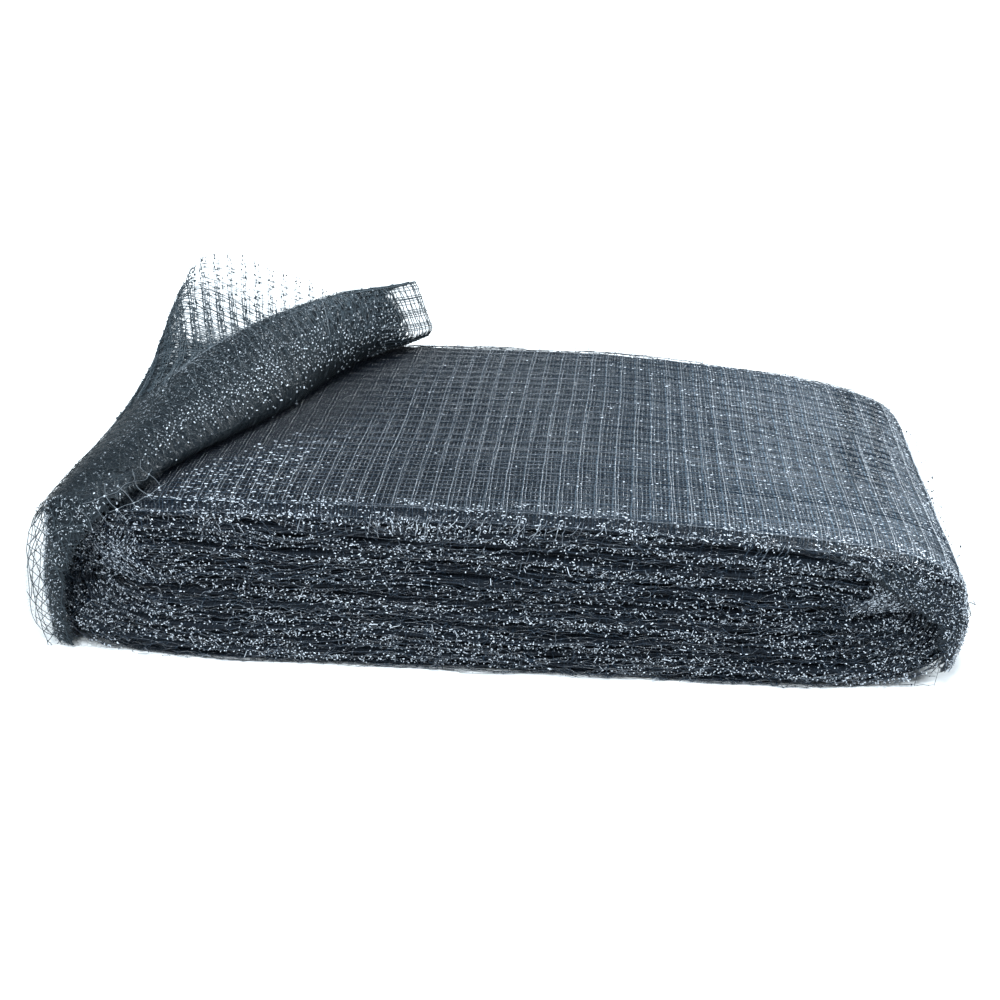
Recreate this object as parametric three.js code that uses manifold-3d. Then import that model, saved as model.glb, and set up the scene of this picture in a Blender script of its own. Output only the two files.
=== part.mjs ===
// Roll of pond netting: a flattened, coreless winding of black net lying on its broad side. The net's
// loose end comes up round the left end and lies back over the top as a low, two-lobed hood.
// Millimetres. +X runs along the roll, +Y away from the folded front face, +Z up; the floor is Z = 0.
import * as THREE from 'three';
import Module from 'manifold-3d';

const wasm = await Module();
wasm.setup();
const { Manifold, Mesh: SolidMesh } = wasm;

// The net: one square mesh, and the width left standing between two cut gaps.
const MESH = 10;
const BAR = 2.6;

// The wound form: half lengths to each end, the level of its middle turn, how far it stands above and
// reaches below that level, and half its depth at the top edge of the front and back faces.
const ROLL = {
  left: 253, right: 252, middle: 43, rise: 48, sink: 45, half_depth: 141,
  foot_reach: 10, edge_round: 7, corner_round: 12, end_draw: 1.05,
};

// How square each corner of the flattened oval is: run along the length, fall in the height.
const CORNERS = {
  top_left: { run: 11, fall: 3 },
  top_right: { run: 9, fall: 2.5 },
  bottom_left: { run: 10, fall: 3 },
  bottom_right: { run: 8, fall: 2.8 },
};

// The top stands higher at the back than at the front, rolls gently between, and slopes off to the
// right end, more so at the back: where the slope starts, and the share of the rise lost at the end.
const TOP = {
  back_lift: 0.05, crown: 0.02, ripple: 0.9, ripple_x: 47, ripple_y: 58,
  slope_from: 40, slope_power: 1.4, slope_front: 0.36, slope_back: 0.6,
};

// One row for each turn that shows on the front and back faces, from the outside in: how far its fold
// lies inside the outline, how far it stands out, and how it wanders up and down along the roll.
const TURNS = [
  { inset: 2.6, reach: 3.0, sway: 0.7, waves: 2.1, phase: 0.4 },
  { inset: 8.6, reach: 4.2, sway: 1.3, waves: 2.3, phase: 1.1 },
  { inset: 14.6, reach: 2.6, sway: 1.6, waves: 2.6, phase: 1.7 },
  { inset: 21.0, reach: 4.0, sway: 1.7, waves: 2.8, phase: 2.4 },
  { inset: 27.4, reach: 2.8, sway: 1.6, waves: 3.1, phase: 3.0 },
  { inset: 33.6, reach: 3.6, sway: 1.2, waves: 3.3, phase: 3.9 },
  { inset: 39.4, reach: 1.8, sway: 0.6, waves: 3.6, phase: 4.6 },
];
const GROOVE = 1.8;
const SIDE_STATIONS = [-112, -75, -37, 0, 37, 75, 112];
const LENGTH_STEPS = 34;

// The loose end, in sections across it from the front corner to the cut rim at the back: the height at
// the roll's left edge, the left lobe, the dip, the crest, the outer bulge and the folded foot.
const SHEET = { thick: 2.4, hem: 26, lift: 2.5, veil: 13, rows: 14, steps: 3 };
const SECTION_COLUMNS = [
  'y', 'edge_z', 'lobe_x', 'lobe_z', 'dip_x', 'dip_z', 'crest_x', 'crest_z', 'bulge_x', 'foot_x',
];
const SECTIONS = [
  [-143, 77, -243, 88, -234, 91, -224, 91, -208, -209],
  [-95, 79, -241, 92, -229, 97, -213, 100, -191, -192],
  [-45, 80, -240, 93, -225, 101, -204, 109, -166, -166],
  [5, 83, -240, 99, -219, 110, -191, 123, -144, -143],
  [45, 86, -240, 109, -208, 114, -166, 135, -131, -133],
  [85, 91, -240, 128, -188, 115, -133, 141, -112, -120],
  [115, 94, -240, 141, -160, 119, -104, 141, -88, -104],
  [138, 95, -238, 150, -124, 124, -84, 140, -69, -88],
].map((row) => Object.fromEntries(row.map((size, i) => [SECTION_COLUMNS[i], size])));

// Where one layer stands clear and the light shows through its meshes: a zone for each such place,
// by depth and by the path from one point of the section to another.
const OPEN_ZONES = [
  { name: 'back wall', from_y: 48, to_y: 132, from: 'edge', skip: 16, to: 'dip' },
  { name: 'tube end', from_y: 108, to_y: 132, from: 'dip', skip: 6, to: 'bulge' },
  { name: 'left veil', from_y: -138, to_y: -58, from: 'floor', skip: 8, to: 'edge' },
];

const NET = new THREE.MeshStandardMaterial({ color: 0x2b343d, roughness: 0.42, metalness: 0 });
const LOOSE_NET = new THREE.MeshStandardMaterial({ color: 0x39424a, roughness: 0.45, metalness: 0 });

// Closed body from a list of points and triangle corners.
function body(points, corners) {
  const geometry = new THREE.BufferGeometry();
  geometry.setAttribute('position', new THREE.Float32BufferAttribute(points.flat(), 3));
  geometry.setIndex(corners);
  return geometry;
}

// Share of the full height that the flattened oval keeps at a share of its half length.
function oval(share, up) {
  const corner = CORNERS[(up ? 'top' : 'bottom') + (share < 0 ? '_left' : '_right')];
  const left = Math.max(0, 1 - Math.abs(share) ** corner.run);
  return left ** (1 / corner.fall);
}

function lift(y) {
  const back = y / ROLL.half_depth;
  return 1 + TOP.back_lift * back - TOP.crown * back * back;
}

function slope(x, y) {
  const run = Math.max(0, (x - TOP.slope_from) / (ROLL.right - TOP.slope_from));
  const back = (y / ROLL.half_depth + 1) / 2;
  return 1 - (TOP.slope_front + (TOP.slope_back - TOP.slope_front) * back) * run ** TOP.slope_power;
}

// Height of the roll's face at a place, for a turn that lies inset within the outline.
function faceHeight(share, up, inset, y) {
  const kept = 1 - inset / ROLL.middle;
  const x = share * (share < 0 ? ROLL.left : ROLL.right);
  const reach = (up ? ROLL.rise * slope(x, y) : -ROLL.sink) * kept * oval(share, up);
  const roll = up ? TOP.ripple * kept * oval(share, up) : 0;
  const ripple = roll * Math.sin(x / TOP.ripple_x) * Math.cos(y / TOP.ripple_y);
  return Math.max(0, (ROLL.middle + reach) * lift(y) + ripple);
}

function topOfRoll(x, y) {
  const share = x / (x < 0 ? ROLL.left : ROLL.right);
  return faceHeight(share, true, 0, y);
}

// Stations of the front or back face from the middle turn out: a ridge for each turn and a groove between.
function faceStations() {
  const stations = [{ inset: 41.9, out: -GROOVE, sway: 0.2, waves: 3.6, phase: 4.6 }];
  for (let i = TURNS.length - 1; i >= 0; i -= 1) {
    const turn = TURNS[i];
    stations.push({ ...turn, out: turn.reach });
    if (i > 0) {
      const next = TURNS[i - 1];
      stations.push({
        inset: (turn.inset + next.inset) / 2, out: -GROOVE, sway: (turn.sway + next.sway) / 2,
        waves: (turn.waves + next.waves) / 2, phase: (turn.phase + next.phase) / 2,
      });
    }
  }
  stations.push({ inset: 0.7, out: -1.5, sway: 0, waves: 0, phase: 0 });
  stations.push({ inset: 0, out: -ROLL.edge_round, sway: 0, waves: 0, phase: 0 });
  return stations;
}

// One ring of the wound form, over the top from left to right and back along the underside.
function ring(place) {
  const points = [];
  for (let i = 0; i < 2 * LENGTH_STEPS; i += 1) {
    const up = i <= LENGTH_STEPS;
    const step = up ? i : 2 * LENGTH_STEPS - i;
    const share = Math.sin((step / LENGTH_STEPS - 0.5) * Math.PI);
    points.push(place(share, up));
  }
  return points;
}

function facePoint(station, side, share, up) {
  const half = (share < 0 ? ROLL.left : ROLL.right) - station.inset * ROLL.end_draw;
  const x = share * half;
  const start = station.phase + (up ? 0 : 2.1) + (side < 0 ? 0 : 1.3);
  const turn = station.waves * 2 * Math.PI * x / 500 + start;
  const level = faceHeight(share, up, station.inset, side * ROLL.half_depth);
  const z = Math.max(0, level + station.sway * (1 - share ** 4) * Math.sin(turn));
  const rounded = ROLL.corner_round * share ** 8;
  const reach = ROLL.half_depth + ROLL.foot_reach * (1 - level / 86) - rounded;
  return [x, side * (reach + station.out), z];
}

function buildRoll() {
  const face = faceStations();
  const rings = face.map((station) => ring((share, up) => facePoint(station, -1, share, up)));
  for (const y of SIDE_STATIONS) {
    rings.push(ring((share, up) => {
      const x = share * (share < 0 ? ROLL.left : ROLL.right);
      return [x, y, faceHeight(share, up, 0, y)];
    }));
  }
  for (const station of [...face].reverse()) {
    rings.push(ring((share, up) => facePoint(station, 1, share, up)));
  }
  const count = 2 * LENGTH_STEPS;
  const corners = [];
  for (let r = 0; r + 1 < rings.length; r += 1) {
    for (let i = 0; i < count; i += 1) {
      const j = (i + 1) % count;
      const [a, b, c, d] = [r * count + i, r * count + j, (r + 1) * count + j, (r + 1) * count + i];
      corners.push(a, b, d, b, c, d);
    }
  }
  // The middle turn closes on itself: its upper run is joined to its lower run at each end face.
  const last = (rings.length - 1) * count;
  for (let i = 0; i < LENGTH_STEPS; i += 1) {
    const [a, b] = [i, i + 1];
    const [c, d] = [(count - i - 1) % count, (count - i) % count];
    if (i > 0) {
      corners.push(a, d, b);
      corners.push(last + a, last + b, last + d);
    }
    if (i < LENGTH_STEPS - 1) {
      corners.push(b, d, c);
      corners.push(last + b, last + c, last + d);
    }
  }
  return body(rings.flat(), corners);
}

// Smooth value between table rows at a depth.
function between(y, column) {
  let i = 0;
  while (i < SECTIONS.length - 2 && y > SECTIONS[i + 1].y) {
    i += 1;
  }
  const at = (k) => SECTIONS[Math.min(SECTIONS.length - 1, Math.max(0, k))];
  const t = (y - at(i).y) / (at(i + 1).y - at(i).y);
  const slope = (k) => (at(k + 1)[column] - at(k - 1)[column]) / (at(k + 1).y - at(k - 1).y);
  const span = at(i + 1).y - at(i).y;
  const t2 = t * t;
  const t3 = t2 * t;
  return (2 * t3 - 3 * t2 + 1) * at(i)[column] + (t3 - 2 * t2 + t) * span * slope(i)
    + (3 * t2 - 2 * t3) * at(i + 1)[column] + (t3 - t2) * span * slope(i + 1);
}

// Named points of one section, from under the left end, up the veil, over the hood and back under its foot.
function sectionPoints(y) {
  const v = (column) => between(y, column);
  const foot = v('foot_x');
  const rest = (x) => topOfRoll(x, y) + SHEET.lift;
  const bulge_z = rest(foot) + 0.4 * (v('crest_z') - rest(foot));
  const loose = SHEET.veil * (0.82 + 0.18 * Math.cos(y / 31));
  return [
    { name: 'tuck', at: [-240, 2.6] },
    { name: 'floor', at: [-ROLL.left - 1, 3.1] },
    { name: 'low veil', at: [-ROLL.left - loose, 16] },
    { name: 'high veil', at: [-ROLL.left - loose + 1, 47] },
    { name: 'shoulder', at: [-ROLL.left - 0.5 * loose, v('edge_z') - 13] },
    { name: 'edge', at: [-ROLL.left - 1, v('edge_z')] },
    { name: 'lobe', at: [v('lobe_x'), v('lobe_z')] },
    { name: 'dip', at: [v('dip_x'), v('dip_z')] },
    { name: 'crest', at: [v('crest_x'), v('crest_z')] },
    { name: 'bulge', at: [v('bulge_x'), bulge_z] },
    { name: 'foot', at: [foot, rest(foot)] },
    { name: 'hem', at: [foot - 0.5 * SHEET.hem, rest(foot - 0.5 * SHEET.hem)] },
    { name: 'hem end', at: [foot - SHEET.hem, rest(foot - SHEET.hem)] },
  ];
}

// The section as a smooth run of points, with the place of each named point along it.
function sectionPath(y, steps) {
  const named = sectionPoints(y);
  const knots = named.map((p) => new THREE.Vector3(p.at[0], y, p.at[1]));
  const curve = new THREE.CatmullRomCurve3(knots, false, 'centripetal');
  const count = (named.length - 1) * steps;
  const points = [];
  const marks = {};
  let run = 0;
  for (let i = 0; i <= count; i += 1) {
    const point = curve.getPoint(i / count);
    if (i > 0) {
      run += point.distanceTo(points[i - 1].point);
    }
    if (i % steps === 0) {
      marks[named[i / steps].name] = run;
    }
    points.push({ point, run });
  }
  return { points, marks };
}

function alongPath(path, run) {
  let i = 1;
  while (i < path.points.length - 1 && path.points[i].run < run) {
    i += 1;
  }
  const [a, b] = [path.points[i - 1], path.points[i]];
  return a.point.clone().lerp(b.point, (run - a.run) / (b.run - a.run));
}

function buildSheet() {
  const first = SECTIONS[0].y;
  const last = SECTIONS[SECTIONS.length - 1].y;
  const grid = [];
  for (let r = 0; r <= SHEET.rows; r += 1) {
    const y = first + (last - first) * r / SHEET.rows;
    grid.push(sectionPath(y, SHEET.steps).points.map((p) => p.point));
  }
  const columns = grid[0].length;
  const within = (n, most) => Math.min(most, Math.max(0, n));
  const at = (r, c) => grid[within(r, SHEET.rows)][within(c, columns - 1)];
  const outer = [];
  const inner = [];
  for (let r = 0; r <= SHEET.rows; r += 1) {
    for (let c = 0; c < columns; c += 1) {
      const across = at(r, c + 1).clone().sub(at(r, c - 1));
      const along = at(r + 1, c).clone().sub(at(r - 1, c));
      const out = along.cross(across).normalize().multiplyScalar(SHEET.thick / 2);
      outer.push(at(r, c).clone().add(out).toArray());
      inner.push(at(r, c).clone().sub(out).toArray());
    }
  }
  const size = outer.length;
  const corners = [];
  const quad = (a, b, c, d) => corners.push(a, b, c, a, c, d);
  for (let r = 0; r < SHEET.rows; r += 1) {
    for (let c = 0; c + 1 < columns; c += 1) {
      const [a, b] = [r * columns + c, r * columns + c + 1];
      const [d, e] = [b + columns, a + columns];
      quad(a, e, d, b);
      quad(size + a, size + b, size + d, size + e);
    }
    const [p, q] = [r * columns, (r + 1) * columns];
    quad(p, size + p, size + q, q);
    const [s, t] = [p + columns - 1, q + columns - 1];
    quad(s, t, size + t, size + s);
  }
  for (let c = 0; c + 1 < columns; c += 1) {
    quad(c, c + 1, size + c + 1, size + c);
    const [s, t] = [SHEET.rows * columns + c, SHEET.rows * columns + c + 1];
    quad(s, size + s, size + t, t);
  }
  return body([...outer, ...inner], corners);
}

// One gap of the net as a block that stands through the sheet at its place.
function meshGap(y, run) {
  const middle = alongPath(sectionPath(y, 8), run);
  const across = alongPath(sectionPath(y, 8), run + 3).sub(middle).normalize();
  const along = alongPath(sectionPath(y + 3, 8), run).sub(middle).normalize();
  const through = new THREE.Vector3().crossVectors(across, along).normalize();
  const side = new THREE.Vector3().crossVectors(through, across);
  const block = new THREE.BoxGeometry(MESH - BAR, MESH - BAR, 4 * SHEET.thick);
  block.applyMatrix4(new THREE.Matrix4().makeBasis(across, side, through).setPosition(middle));
  return block;
}

function meshGaps() {
  const gaps = [];
  for (const zone of OPEN_ZONES) {
    for (let y = zone.from_y + MESH / 2; y <= zone.to_y; y += MESH) {
      const marks = sectionPath(y, 8).marks;
      const start = marks[zone.from] + zone.skip;
      for (let run = start + MESH / 2; run <= marks[zone.to] - MESH / 2; run += MESH) {
        gaps.push(meshGap(y, run));
      }
    }
  }
  return gaps;
}

function toSolid(geometry) {
  const merged = new Map();
  const points = [];
  const position = geometry.getAttribute('position');
  const index = geometry.getIndex().array;
  const renamed = Array.from(index, (i) => {
    const p = [position.getX(i), position.getY(i), position.getZ(i)];
    const key = p.map((n) => n.toFixed(4)).join(' ');
    if (!merged.has(key)) {
      merged.set(key, points.length / 3);
      points.push(...p);
    }
    return merged.get(key);
  });
  return new Manifold(new SolidMesh({
    numProp: 3, vertProperties: new Float32Array(points), triVerts: new Uint32Array(renamed),
  }));
}

function fromSolid(solid) {
  const mesh = solid.getMesh();
  const geometry = new THREE.BufferGeometry();
  geometry.setAttribute('position', new THREE.BufferAttribute(Float32Array.from(mesh.vertProperties), 3));
  geometry.setIndex(Array.from(mesh.triVerts));
  return geometry;
}

function node(name, geometry, material) {
  geometry.computeVertexNormals();
  const mesh = new THREE.Mesh(geometry, material);
  mesh.name = name;
  return mesh;
}

const sheet = toSolid(buildSheet());
const netted = sheet.subtract(Manifold.union(meshGaps().map(toSolid)));

const part = new THREE.Group();
part.name = 'pond_netting_roll';
part.add(node('roll', buildRoll(), NET));
part.add(node('loose_end', fromSolid(netted), LOOSE_NET));

export default part;
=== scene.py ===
"""Roll of pond netting: a flattened winding of black plastic net, its loose end lifted back over the top."""
import math

import bmesh
import bpy
import numpy as np
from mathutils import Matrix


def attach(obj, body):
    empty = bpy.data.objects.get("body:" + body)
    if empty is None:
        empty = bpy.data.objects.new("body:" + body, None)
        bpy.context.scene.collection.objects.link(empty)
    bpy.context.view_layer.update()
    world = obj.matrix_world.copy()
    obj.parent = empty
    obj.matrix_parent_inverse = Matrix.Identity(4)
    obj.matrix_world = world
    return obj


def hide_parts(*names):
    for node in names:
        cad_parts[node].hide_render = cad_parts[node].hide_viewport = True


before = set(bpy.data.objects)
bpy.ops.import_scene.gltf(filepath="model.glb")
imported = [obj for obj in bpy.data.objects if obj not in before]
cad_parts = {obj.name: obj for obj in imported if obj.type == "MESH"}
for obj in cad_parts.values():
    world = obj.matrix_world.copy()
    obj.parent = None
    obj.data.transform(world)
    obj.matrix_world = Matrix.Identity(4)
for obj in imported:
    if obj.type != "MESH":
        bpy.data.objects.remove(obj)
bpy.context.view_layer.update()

# Sizes in millimetres, as in the part's source; only the back right corner is a little squarer here.
MM = 0.001
MESH = 10.0
ROLL = dict(left=253.0, right=252.0, middle=43.0, rise=48.0, sink=45.0, half_depth=141.0, end_draw=1.05,
            foot_reach=10.0, foot_height=86.0, corner_round=12.0, sway_length=500.0)
CORNERS = dict(top_left=(11.0, 3.0), top_right=(9.0, 2.5), bottom_left=(10.0, 3.0), bottom_right=(8.0, 2.8))
TOP = dict(back_lift=0.05, crown=0.02, ripple=0.9, ripple_x=47.0, ripple_y=58.0, slope_from=40.0,
           slope_power=1.4, slope_front=0.36, slope_back=0.53, square=0.4, square_from=0.4)
# Turns from the outside in: inset, reach, sway, waves, phase.
TURNS = [
    (2.6, 3.0, 0.7, 2.1, 0.4),
    (8.6, 4.2, 1.3, 2.3, 1.1),
    (14.6, 2.6, 1.6, 2.6, 1.7),
    (21.0, 4.0, 1.7, 2.8, 2.4),
    (27.4, 2.8, 1.6, 3.1, 3.0),
    (33.6, 3.6, 1.2, 3.3, 3.9),
    (39.4, 1.8, 0.6, 3.6, 4.6),
]
OUTER_TURN, MIDDLE_TURN = TURNS[0], TURNS[3]
# How far the waves of a turn are shifted on its lower half and on the back face.
LOWER_SHIFT, BACK_SHIFT = 2.1, 1.3
# Least and greatest inset of a thread on the faces.
INSETS = (0.4, 41.9)
# The edge where the top rolls over to a face: its width, its drop, and how far it lies inside the face.
BRIM = dict(width=9.0, drop=2.6, inside=1.0)
VEIL = 13.0
HEM = 26.0
HEM_LIFT = 2.5
# Sections of the loose end from the front to the back.
SECTION_COLUMNS = ("y", "edge_z", "lobe_x", "lobe_z", "dip_x", "dip_z", "crest_x", "crest_z", "bulge_x",
                   "foot_x")
SECTIONS = np.array([
    (-143, 77, -243, 88, -234, 91, -224, 91, -208, -209),
    (-95, 79, -241, 92, -229, 97, -213, 100, -191, -192),
    (-45, 80, -240, 93, -225, 101, -204, 109, -166, -166),
    (5, 83, -240, 99, -219, 110, -191, 123, -144, -143),
    (45, 86, -240, 109, -208, 114, -166, 135, -131, -133),
    (85, 91, -240, 128, -188, 115, -133, 141, -112, -120),
    (115, 94, -240, 141, -160, 119, -104, 141, -89, -104),
    (138, 95, -238, 150, -124, 124, -84, 140, -72.5, -88),
], dtype=float)
SECTION_NAMES = ("tuck", "floor", "low veil", "high veil", "shoulder", "edge", "lobe", "dip", "crest",
                 "bulge", "foot", "hem", "hem end")
FRONT_EDGE, BACK_EDGE = SECTIONS[0, 0], SECTIONS[-1, 0]
FLOOR_GAP = 1.0
# Threads across the depth of one layer of the winding, the depth it has, and the share of it that they fill.
LINES = 28
DEPTH = 2 * ROLL["half_depth"] + 4
FILLED = 0.995
# Usual radius of a thread and of a knot, and the sides of a thread.
THREAD, KNOT = 0.27, 0.5
THREAD_SIDES = 3
FULL_TURN = 2 * math.pi


# Lines and tables

def ease(t):
    """A soft step from 0 to 1."""
    t = np.clip(t, 0, 1)
    return t * t * (3 - 2 * t)


def rises(value, start, width):
    """A soft step from 0 to 1 as a value passes a start, over a width."""
    return ease((value - start) / width)


def falls(value, end, width):
    """A soft step from 1 to 0 as a value comes up to an end, over a width."""
    return ease((end - value) / width)


def hump(t):
    """A soft bell, 1 at zero."""
    return np.exp(-t ** 2)


def unit(vectors):
    return vectors / np.maximum(np.linalg.norm(vectors, axis=-1, keepdims=True), 1e-6)


def hermite(t, start, leaving, end, arriving):
    """A smooth way from start to end, t from 0 to 1, with the slopes at which it leaves and arrives."""
    return ((2 * t**3 - 3 * t**2 + 1) * start + (t**3 - 2 * t**2 + t) * leaving
            + (3 * t**2 - 2 * t**3) * end + (t**3 - t**2) * arriving)


def run_along(line):
    """Distance along a line at each of its points."""
    return np.concatenate([[0], np.cumsum(np.linalg.norm(np.diff(line, axis=0), axis=1))])


def points_at(at, run, line):
    """Points of a line at given distances along it."""
    return np.stack([np.interp(at, run, line[:, c]) for c in range(line.shape[1])], 1)


def walk(points, count):
    """A closed line as evenly spaced points, and its length."""
    line = np.concatenate([points, points[:1]])
    run = run_along(line)
    return points_at(np.linspace(0, run[-1], count, endpoint=False), run, line), run[-1]


def smooth_line(knots, steps):
    """A smooth curve through the knots, with the same number of points between each two."""
    ends = np.concatenate([[2 * knots[0] - knots[1]], knots, [2 * knots[-1] - knots[-2]]])
    out = []
    t = np.linspace(0, 1, steps, endpoint=False)[:, None]
    for i in range(len(knots) - 1):
        p0, p1, p2, p3 = ends[i:i + 4]
        d0, d1, d2 = [max(np.linalg.norm(b - a) ** 0.5, 1e-4) for a, b in ((p0, p1), (p1, p2), (p2, p3))]
        leaving = ((p1 - p0) / d0 - (p2 - p0) / (d0 + d1) + (p2 - p1) / d1) * d1
        arriving = ((p2 - p1) / d1 - (p3 - p1) / (d1 + d2) + (p3 - p2) / d2) * d1
        out.append(hermite(t, p1, leaving, p2, arriving))
    out.append(knots[-1:])
    return np.concatenate(out)


def sampled(table, row, column):
    """Values between the rows and columns of a table, whose last column is followed by its first."""
    columns = table.shape[1]
    i, j = np.floor(row).astype(int), np.floor(column).astype(int) % columns
    k = (j + 1) % columns
    a, b = [(s - np.floor(s)).reshape(*s.shape, *[1] * (table.ndim - 2)) for s in (row, column)]
    left = table[i, j] * (1 - a) + table[i + 1, j] * a
    right = table[i, k] * (1 - a) + table[i + 1, k] * a
    return left * (1 - b) + right * b


class Wander:
    """Smooth random drift over two coordinates, in millimetres."""
    # Waves that are added up, and how much larger their sum is than the strength.
    WAVES, SUM = 5, 2.2

    def __init__(self, rng, length, strength):
        self.strength = strength
        self.angle = rng.uniform(0, FULL_TURN, self.WAVES)
        self.rate = rng.uniform(0.7, 1.6, self.WAVES) * FULL_TURN / length
        self.start = rng.uniform(0, FULL_TURN, self.WAVES)

    def __call__(self, u, v=0.0):
        total = 0
        for angle, rate, start in zip(self.angle, self.rate, self.start):
            total = total + np.sin((u * math.cos(angle) + v * math.sin(angle)) * rate + start)
        return total * self.strength / self.SUM


# The wound form

def oval(share, up):
    """Share of the height that the flattened oval keeps at a share of its half length."""
    share = np.asarray(share, float)
    up = np.broadcast_to(np.asarray(up), share.shape)
    kept = np.zeros(share.shape)
    for is_up, side in ((True, "top"), (False, "bottom")):
        for is_left, end in ((True, "left"), (False, "right")):
            run, fall = CORNERS[f"{side}_{end}"]
            here = (up == is_up) & ((share < 0) == is_left)
            kept[here] = np.clip(1 - np.abs(share[here]) ** run, 0, None) ** (1 / fall)
    return kept


def half_length(share):
    """Length of the half of the roll that a share of its length, or an x, lies on."""
    return np.where(np.asarray(share) < 0, ROLL["left"], ROLL["right"])


def face_height(share, up, inset, y):
    """Height of the roll's upper or lower face for a turn that lies inset within the outline."""
    share, inset, y = np.broadcast_arrays(*[np.asarray(v, float) for v in (share, inset, y)])
    up = np.broadcast_to(np.asarray(up), share.shape)
    kept = 1 - inset / ROLL["middle"]
    x = share * half_length(share)
    back = y / ROLL["half_depth"]
    run = np.clip((x - TOP["slope_from"]) / (ROLL["right"] - TOP["slope_from"]), 0, None)
    lost = TOP["slope_front"] + (TOP["slope_back"] - TOP["slope_front"]) * (back + 1) / 2
    shape = oval(share, up)
    squarer = shape ** (1 - TOP["square"] * np.clip(back + TOP["square_from"], 0, 1))
    shape = np.where(up & (share > 0), squarer, shape)
    reach = np.where(up, ROLL["rise"] * (1 - lost * run ** TOP["slope_power"]), -ROLL["sink"]) * kept * shape
    lift = 1 + TOP["back_lift"] * back - TOP["crown"] * back * back
    ripple = np.where(up, TOP["ripple"] * kept * shape, 0)
    ripple = ripple * np.sin(x / TOP["ripple_x"]) * np.cos(y / TOP["ripple_y"])
    return np.maximum(0, (ROLL["middle"] + reach) * lift + ripple)


def top_of_roll(x, y):
    x = np.asarray(x, float)
    return face_height(x / half_length(x), True, 0.0, y)


def reach_at(level, share):
    """How far the front or back face stands from the middle at a height, before its folds are added."""
    rounded = ROLL["corner_round"] * share ** 8
    return ROLL["half_depth"] + ROLL["foot_reach"] * (1 - level / ROLL["foot_height"]) - rounded


def face_reach(share, up, inset, side):
    return reach_at(face_height(share, up, inset, side * ROLL["half_depth"]), np.asarray(share))


def fold_point(share, up, inset, out, turn, side):
    """Place on the front (side -1) or back (side 1) face, at a share of the length, an inset and a reach."""
    _, _, sway, waves, phase = turn
    x = share * (half_length(share) - inset * ROLL["end_draw"])
    start = phase + np.where(up, 0, LOWER_SHIFT) + (0 if side < 0 else BACK_SHIFT)
    level = face_height(share, up, inset, side * ROLL["half_depth"])
    wave = np.sin(waves * FULL_TURN * x / ROLL["sway_length"] + start)
    z = np.maximum(0, level + sway * (1 - share ** 4) * wave)
    y = side * (face_reach(share, up, inset, side) + out)
    return np.stack([x, y, z], -1)


def loop_shares(steps):
    """Places round the roll: from under its middle to the left end, over the top, and back underneath."""
    quarter = steps // 4
    lower_left = -np.sin(np.linspace(0, 0.5, quarter, endpoint=False) * math.pi)
    over = np.sin(np.linspace(-0.5, 0.5, 2 * quarter, endpoint=False) * math.pi)
    lower_right = np.sin(np.linspace(0.5, 0, quarter, endpoint=False) * math.pi)
    up = np.zeros(4 * quarter, bool)
    up[quarter:3 * quarter] = True
    return np.concatenate([lower_left, over, lower_right]), up


class Wrap:
    """The outer surface of the winding, by distance round it and share of its depth."""
    ROWS, COLUMNS, STEPS = 41, 472, 480

    def __init__(self):
        share, up = loop_shares(self.STEPS)
        table = []
        for v in np.linspace(-1, 1, self.ROWS):
            reach = face_reach(share, up, 0.0, -1 if v < 0 else 1) - BRIM["inside"]
            y = v * reach
            edge = np.clip((np.abs(y) - (reach - BRIM["width"])) / BRIM["width"], 0, 1)
            inset = BRIM["drop"] * edge ** 2
            x = share * (half_length(share) - inset * ROLL["end_draw"])
            line, self.length = walk(np.stack([x, y, face_height(share, up, inset, y)], 1), self.COLUMNS)
            table.append(line)
        self.place = np.array(table)
        along = np.roll(self.place, -1, 1) - np.roll(self.place, 1, 1)
        self.normal = unit(np.cross(along, np.gradient(self.place, axis=0)))
        if ((self.place - self.place.mean(axis=(0, 1))) * self.normal).sum() < 0:
            self.normal = -self.normal

    def at(self, run, share, stand):
        u = np.mod(run / self.length, 1) * self.COLUMNS
        v = np.clip((share + 1) / 2 * (self.ROWS - 1), 0, self.ROWS - 1.0001)
        place, normal = [sampled(table, v, u) for table in (self.place, self.normal)]
        return place + normal * np.asarray(stand)[..., None]


# The loose end

def between(y, column):
    """Smooth value of one column of the section table at a depth."""
    at, values = SECTIONS[:, 0], SECTIONS[:, SECTION_COLUMNS.index(column)]
    slopes = np.empty(len(at))
    slopes[1:-1] = (values[2:] - values[:-2]) / (at[2:] - at[:-2])
    slopes[0] = (values[1] - values[0]) / (at[1] - at[0])
    slopes[-1] = (values[-1] - values[-2]) / (at[-1] - at[-2])
    i = int(np.clip(np.searchsorted(at, y) - 1, 0, len(at) - 2))
    span = at[i + 1] - at[i]
    return hermite((y - at[i]) / span, values[i], span * slopes[i], values[i + 1], span * slopes[i + 1])


def section_points(y):
    """Named points of one section of the loose end, from under the left end to the hem under its foot."""
    def rest(x):
        return float(top_of_roll(x, y)) + HEM_LIFT

    foot = between(y, "foot_x")
    bulge_share = 0.4 - 0.2 * float(rises(y, 85, 45))
    bulge_z = rest(foot) + bulge_share * (between(y, "crest_z") - rest(foot))
    loose = VEIL * (0.82 + 0.18 * math.cos(y / 31))
    edge_z = between(y, "edge_z")
    left = -ROLL["left"]
    return np.array([
        (left + 13, 2.6), (left - 1, 3.1), (left - loose, 16), (left - loose + 1, 47),
        (left - 0.5 * loose, edge_z - 13), (left - 1, edge_z),
        (between(y, "lobe_x"), between(y, "lobe_z")), (between(y, "dip_x"), between(y, "dip_z")),
        (between(y, "crest_x"), between(y, "crest_z")), (between(y, "bulge_x"), bulge_z),
        (foot, rest(foot)), (foot - HEM / 2, rest(foot - HEM / 2)), (foot - HEM, rest(foot - HEM)),
    ])


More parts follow.
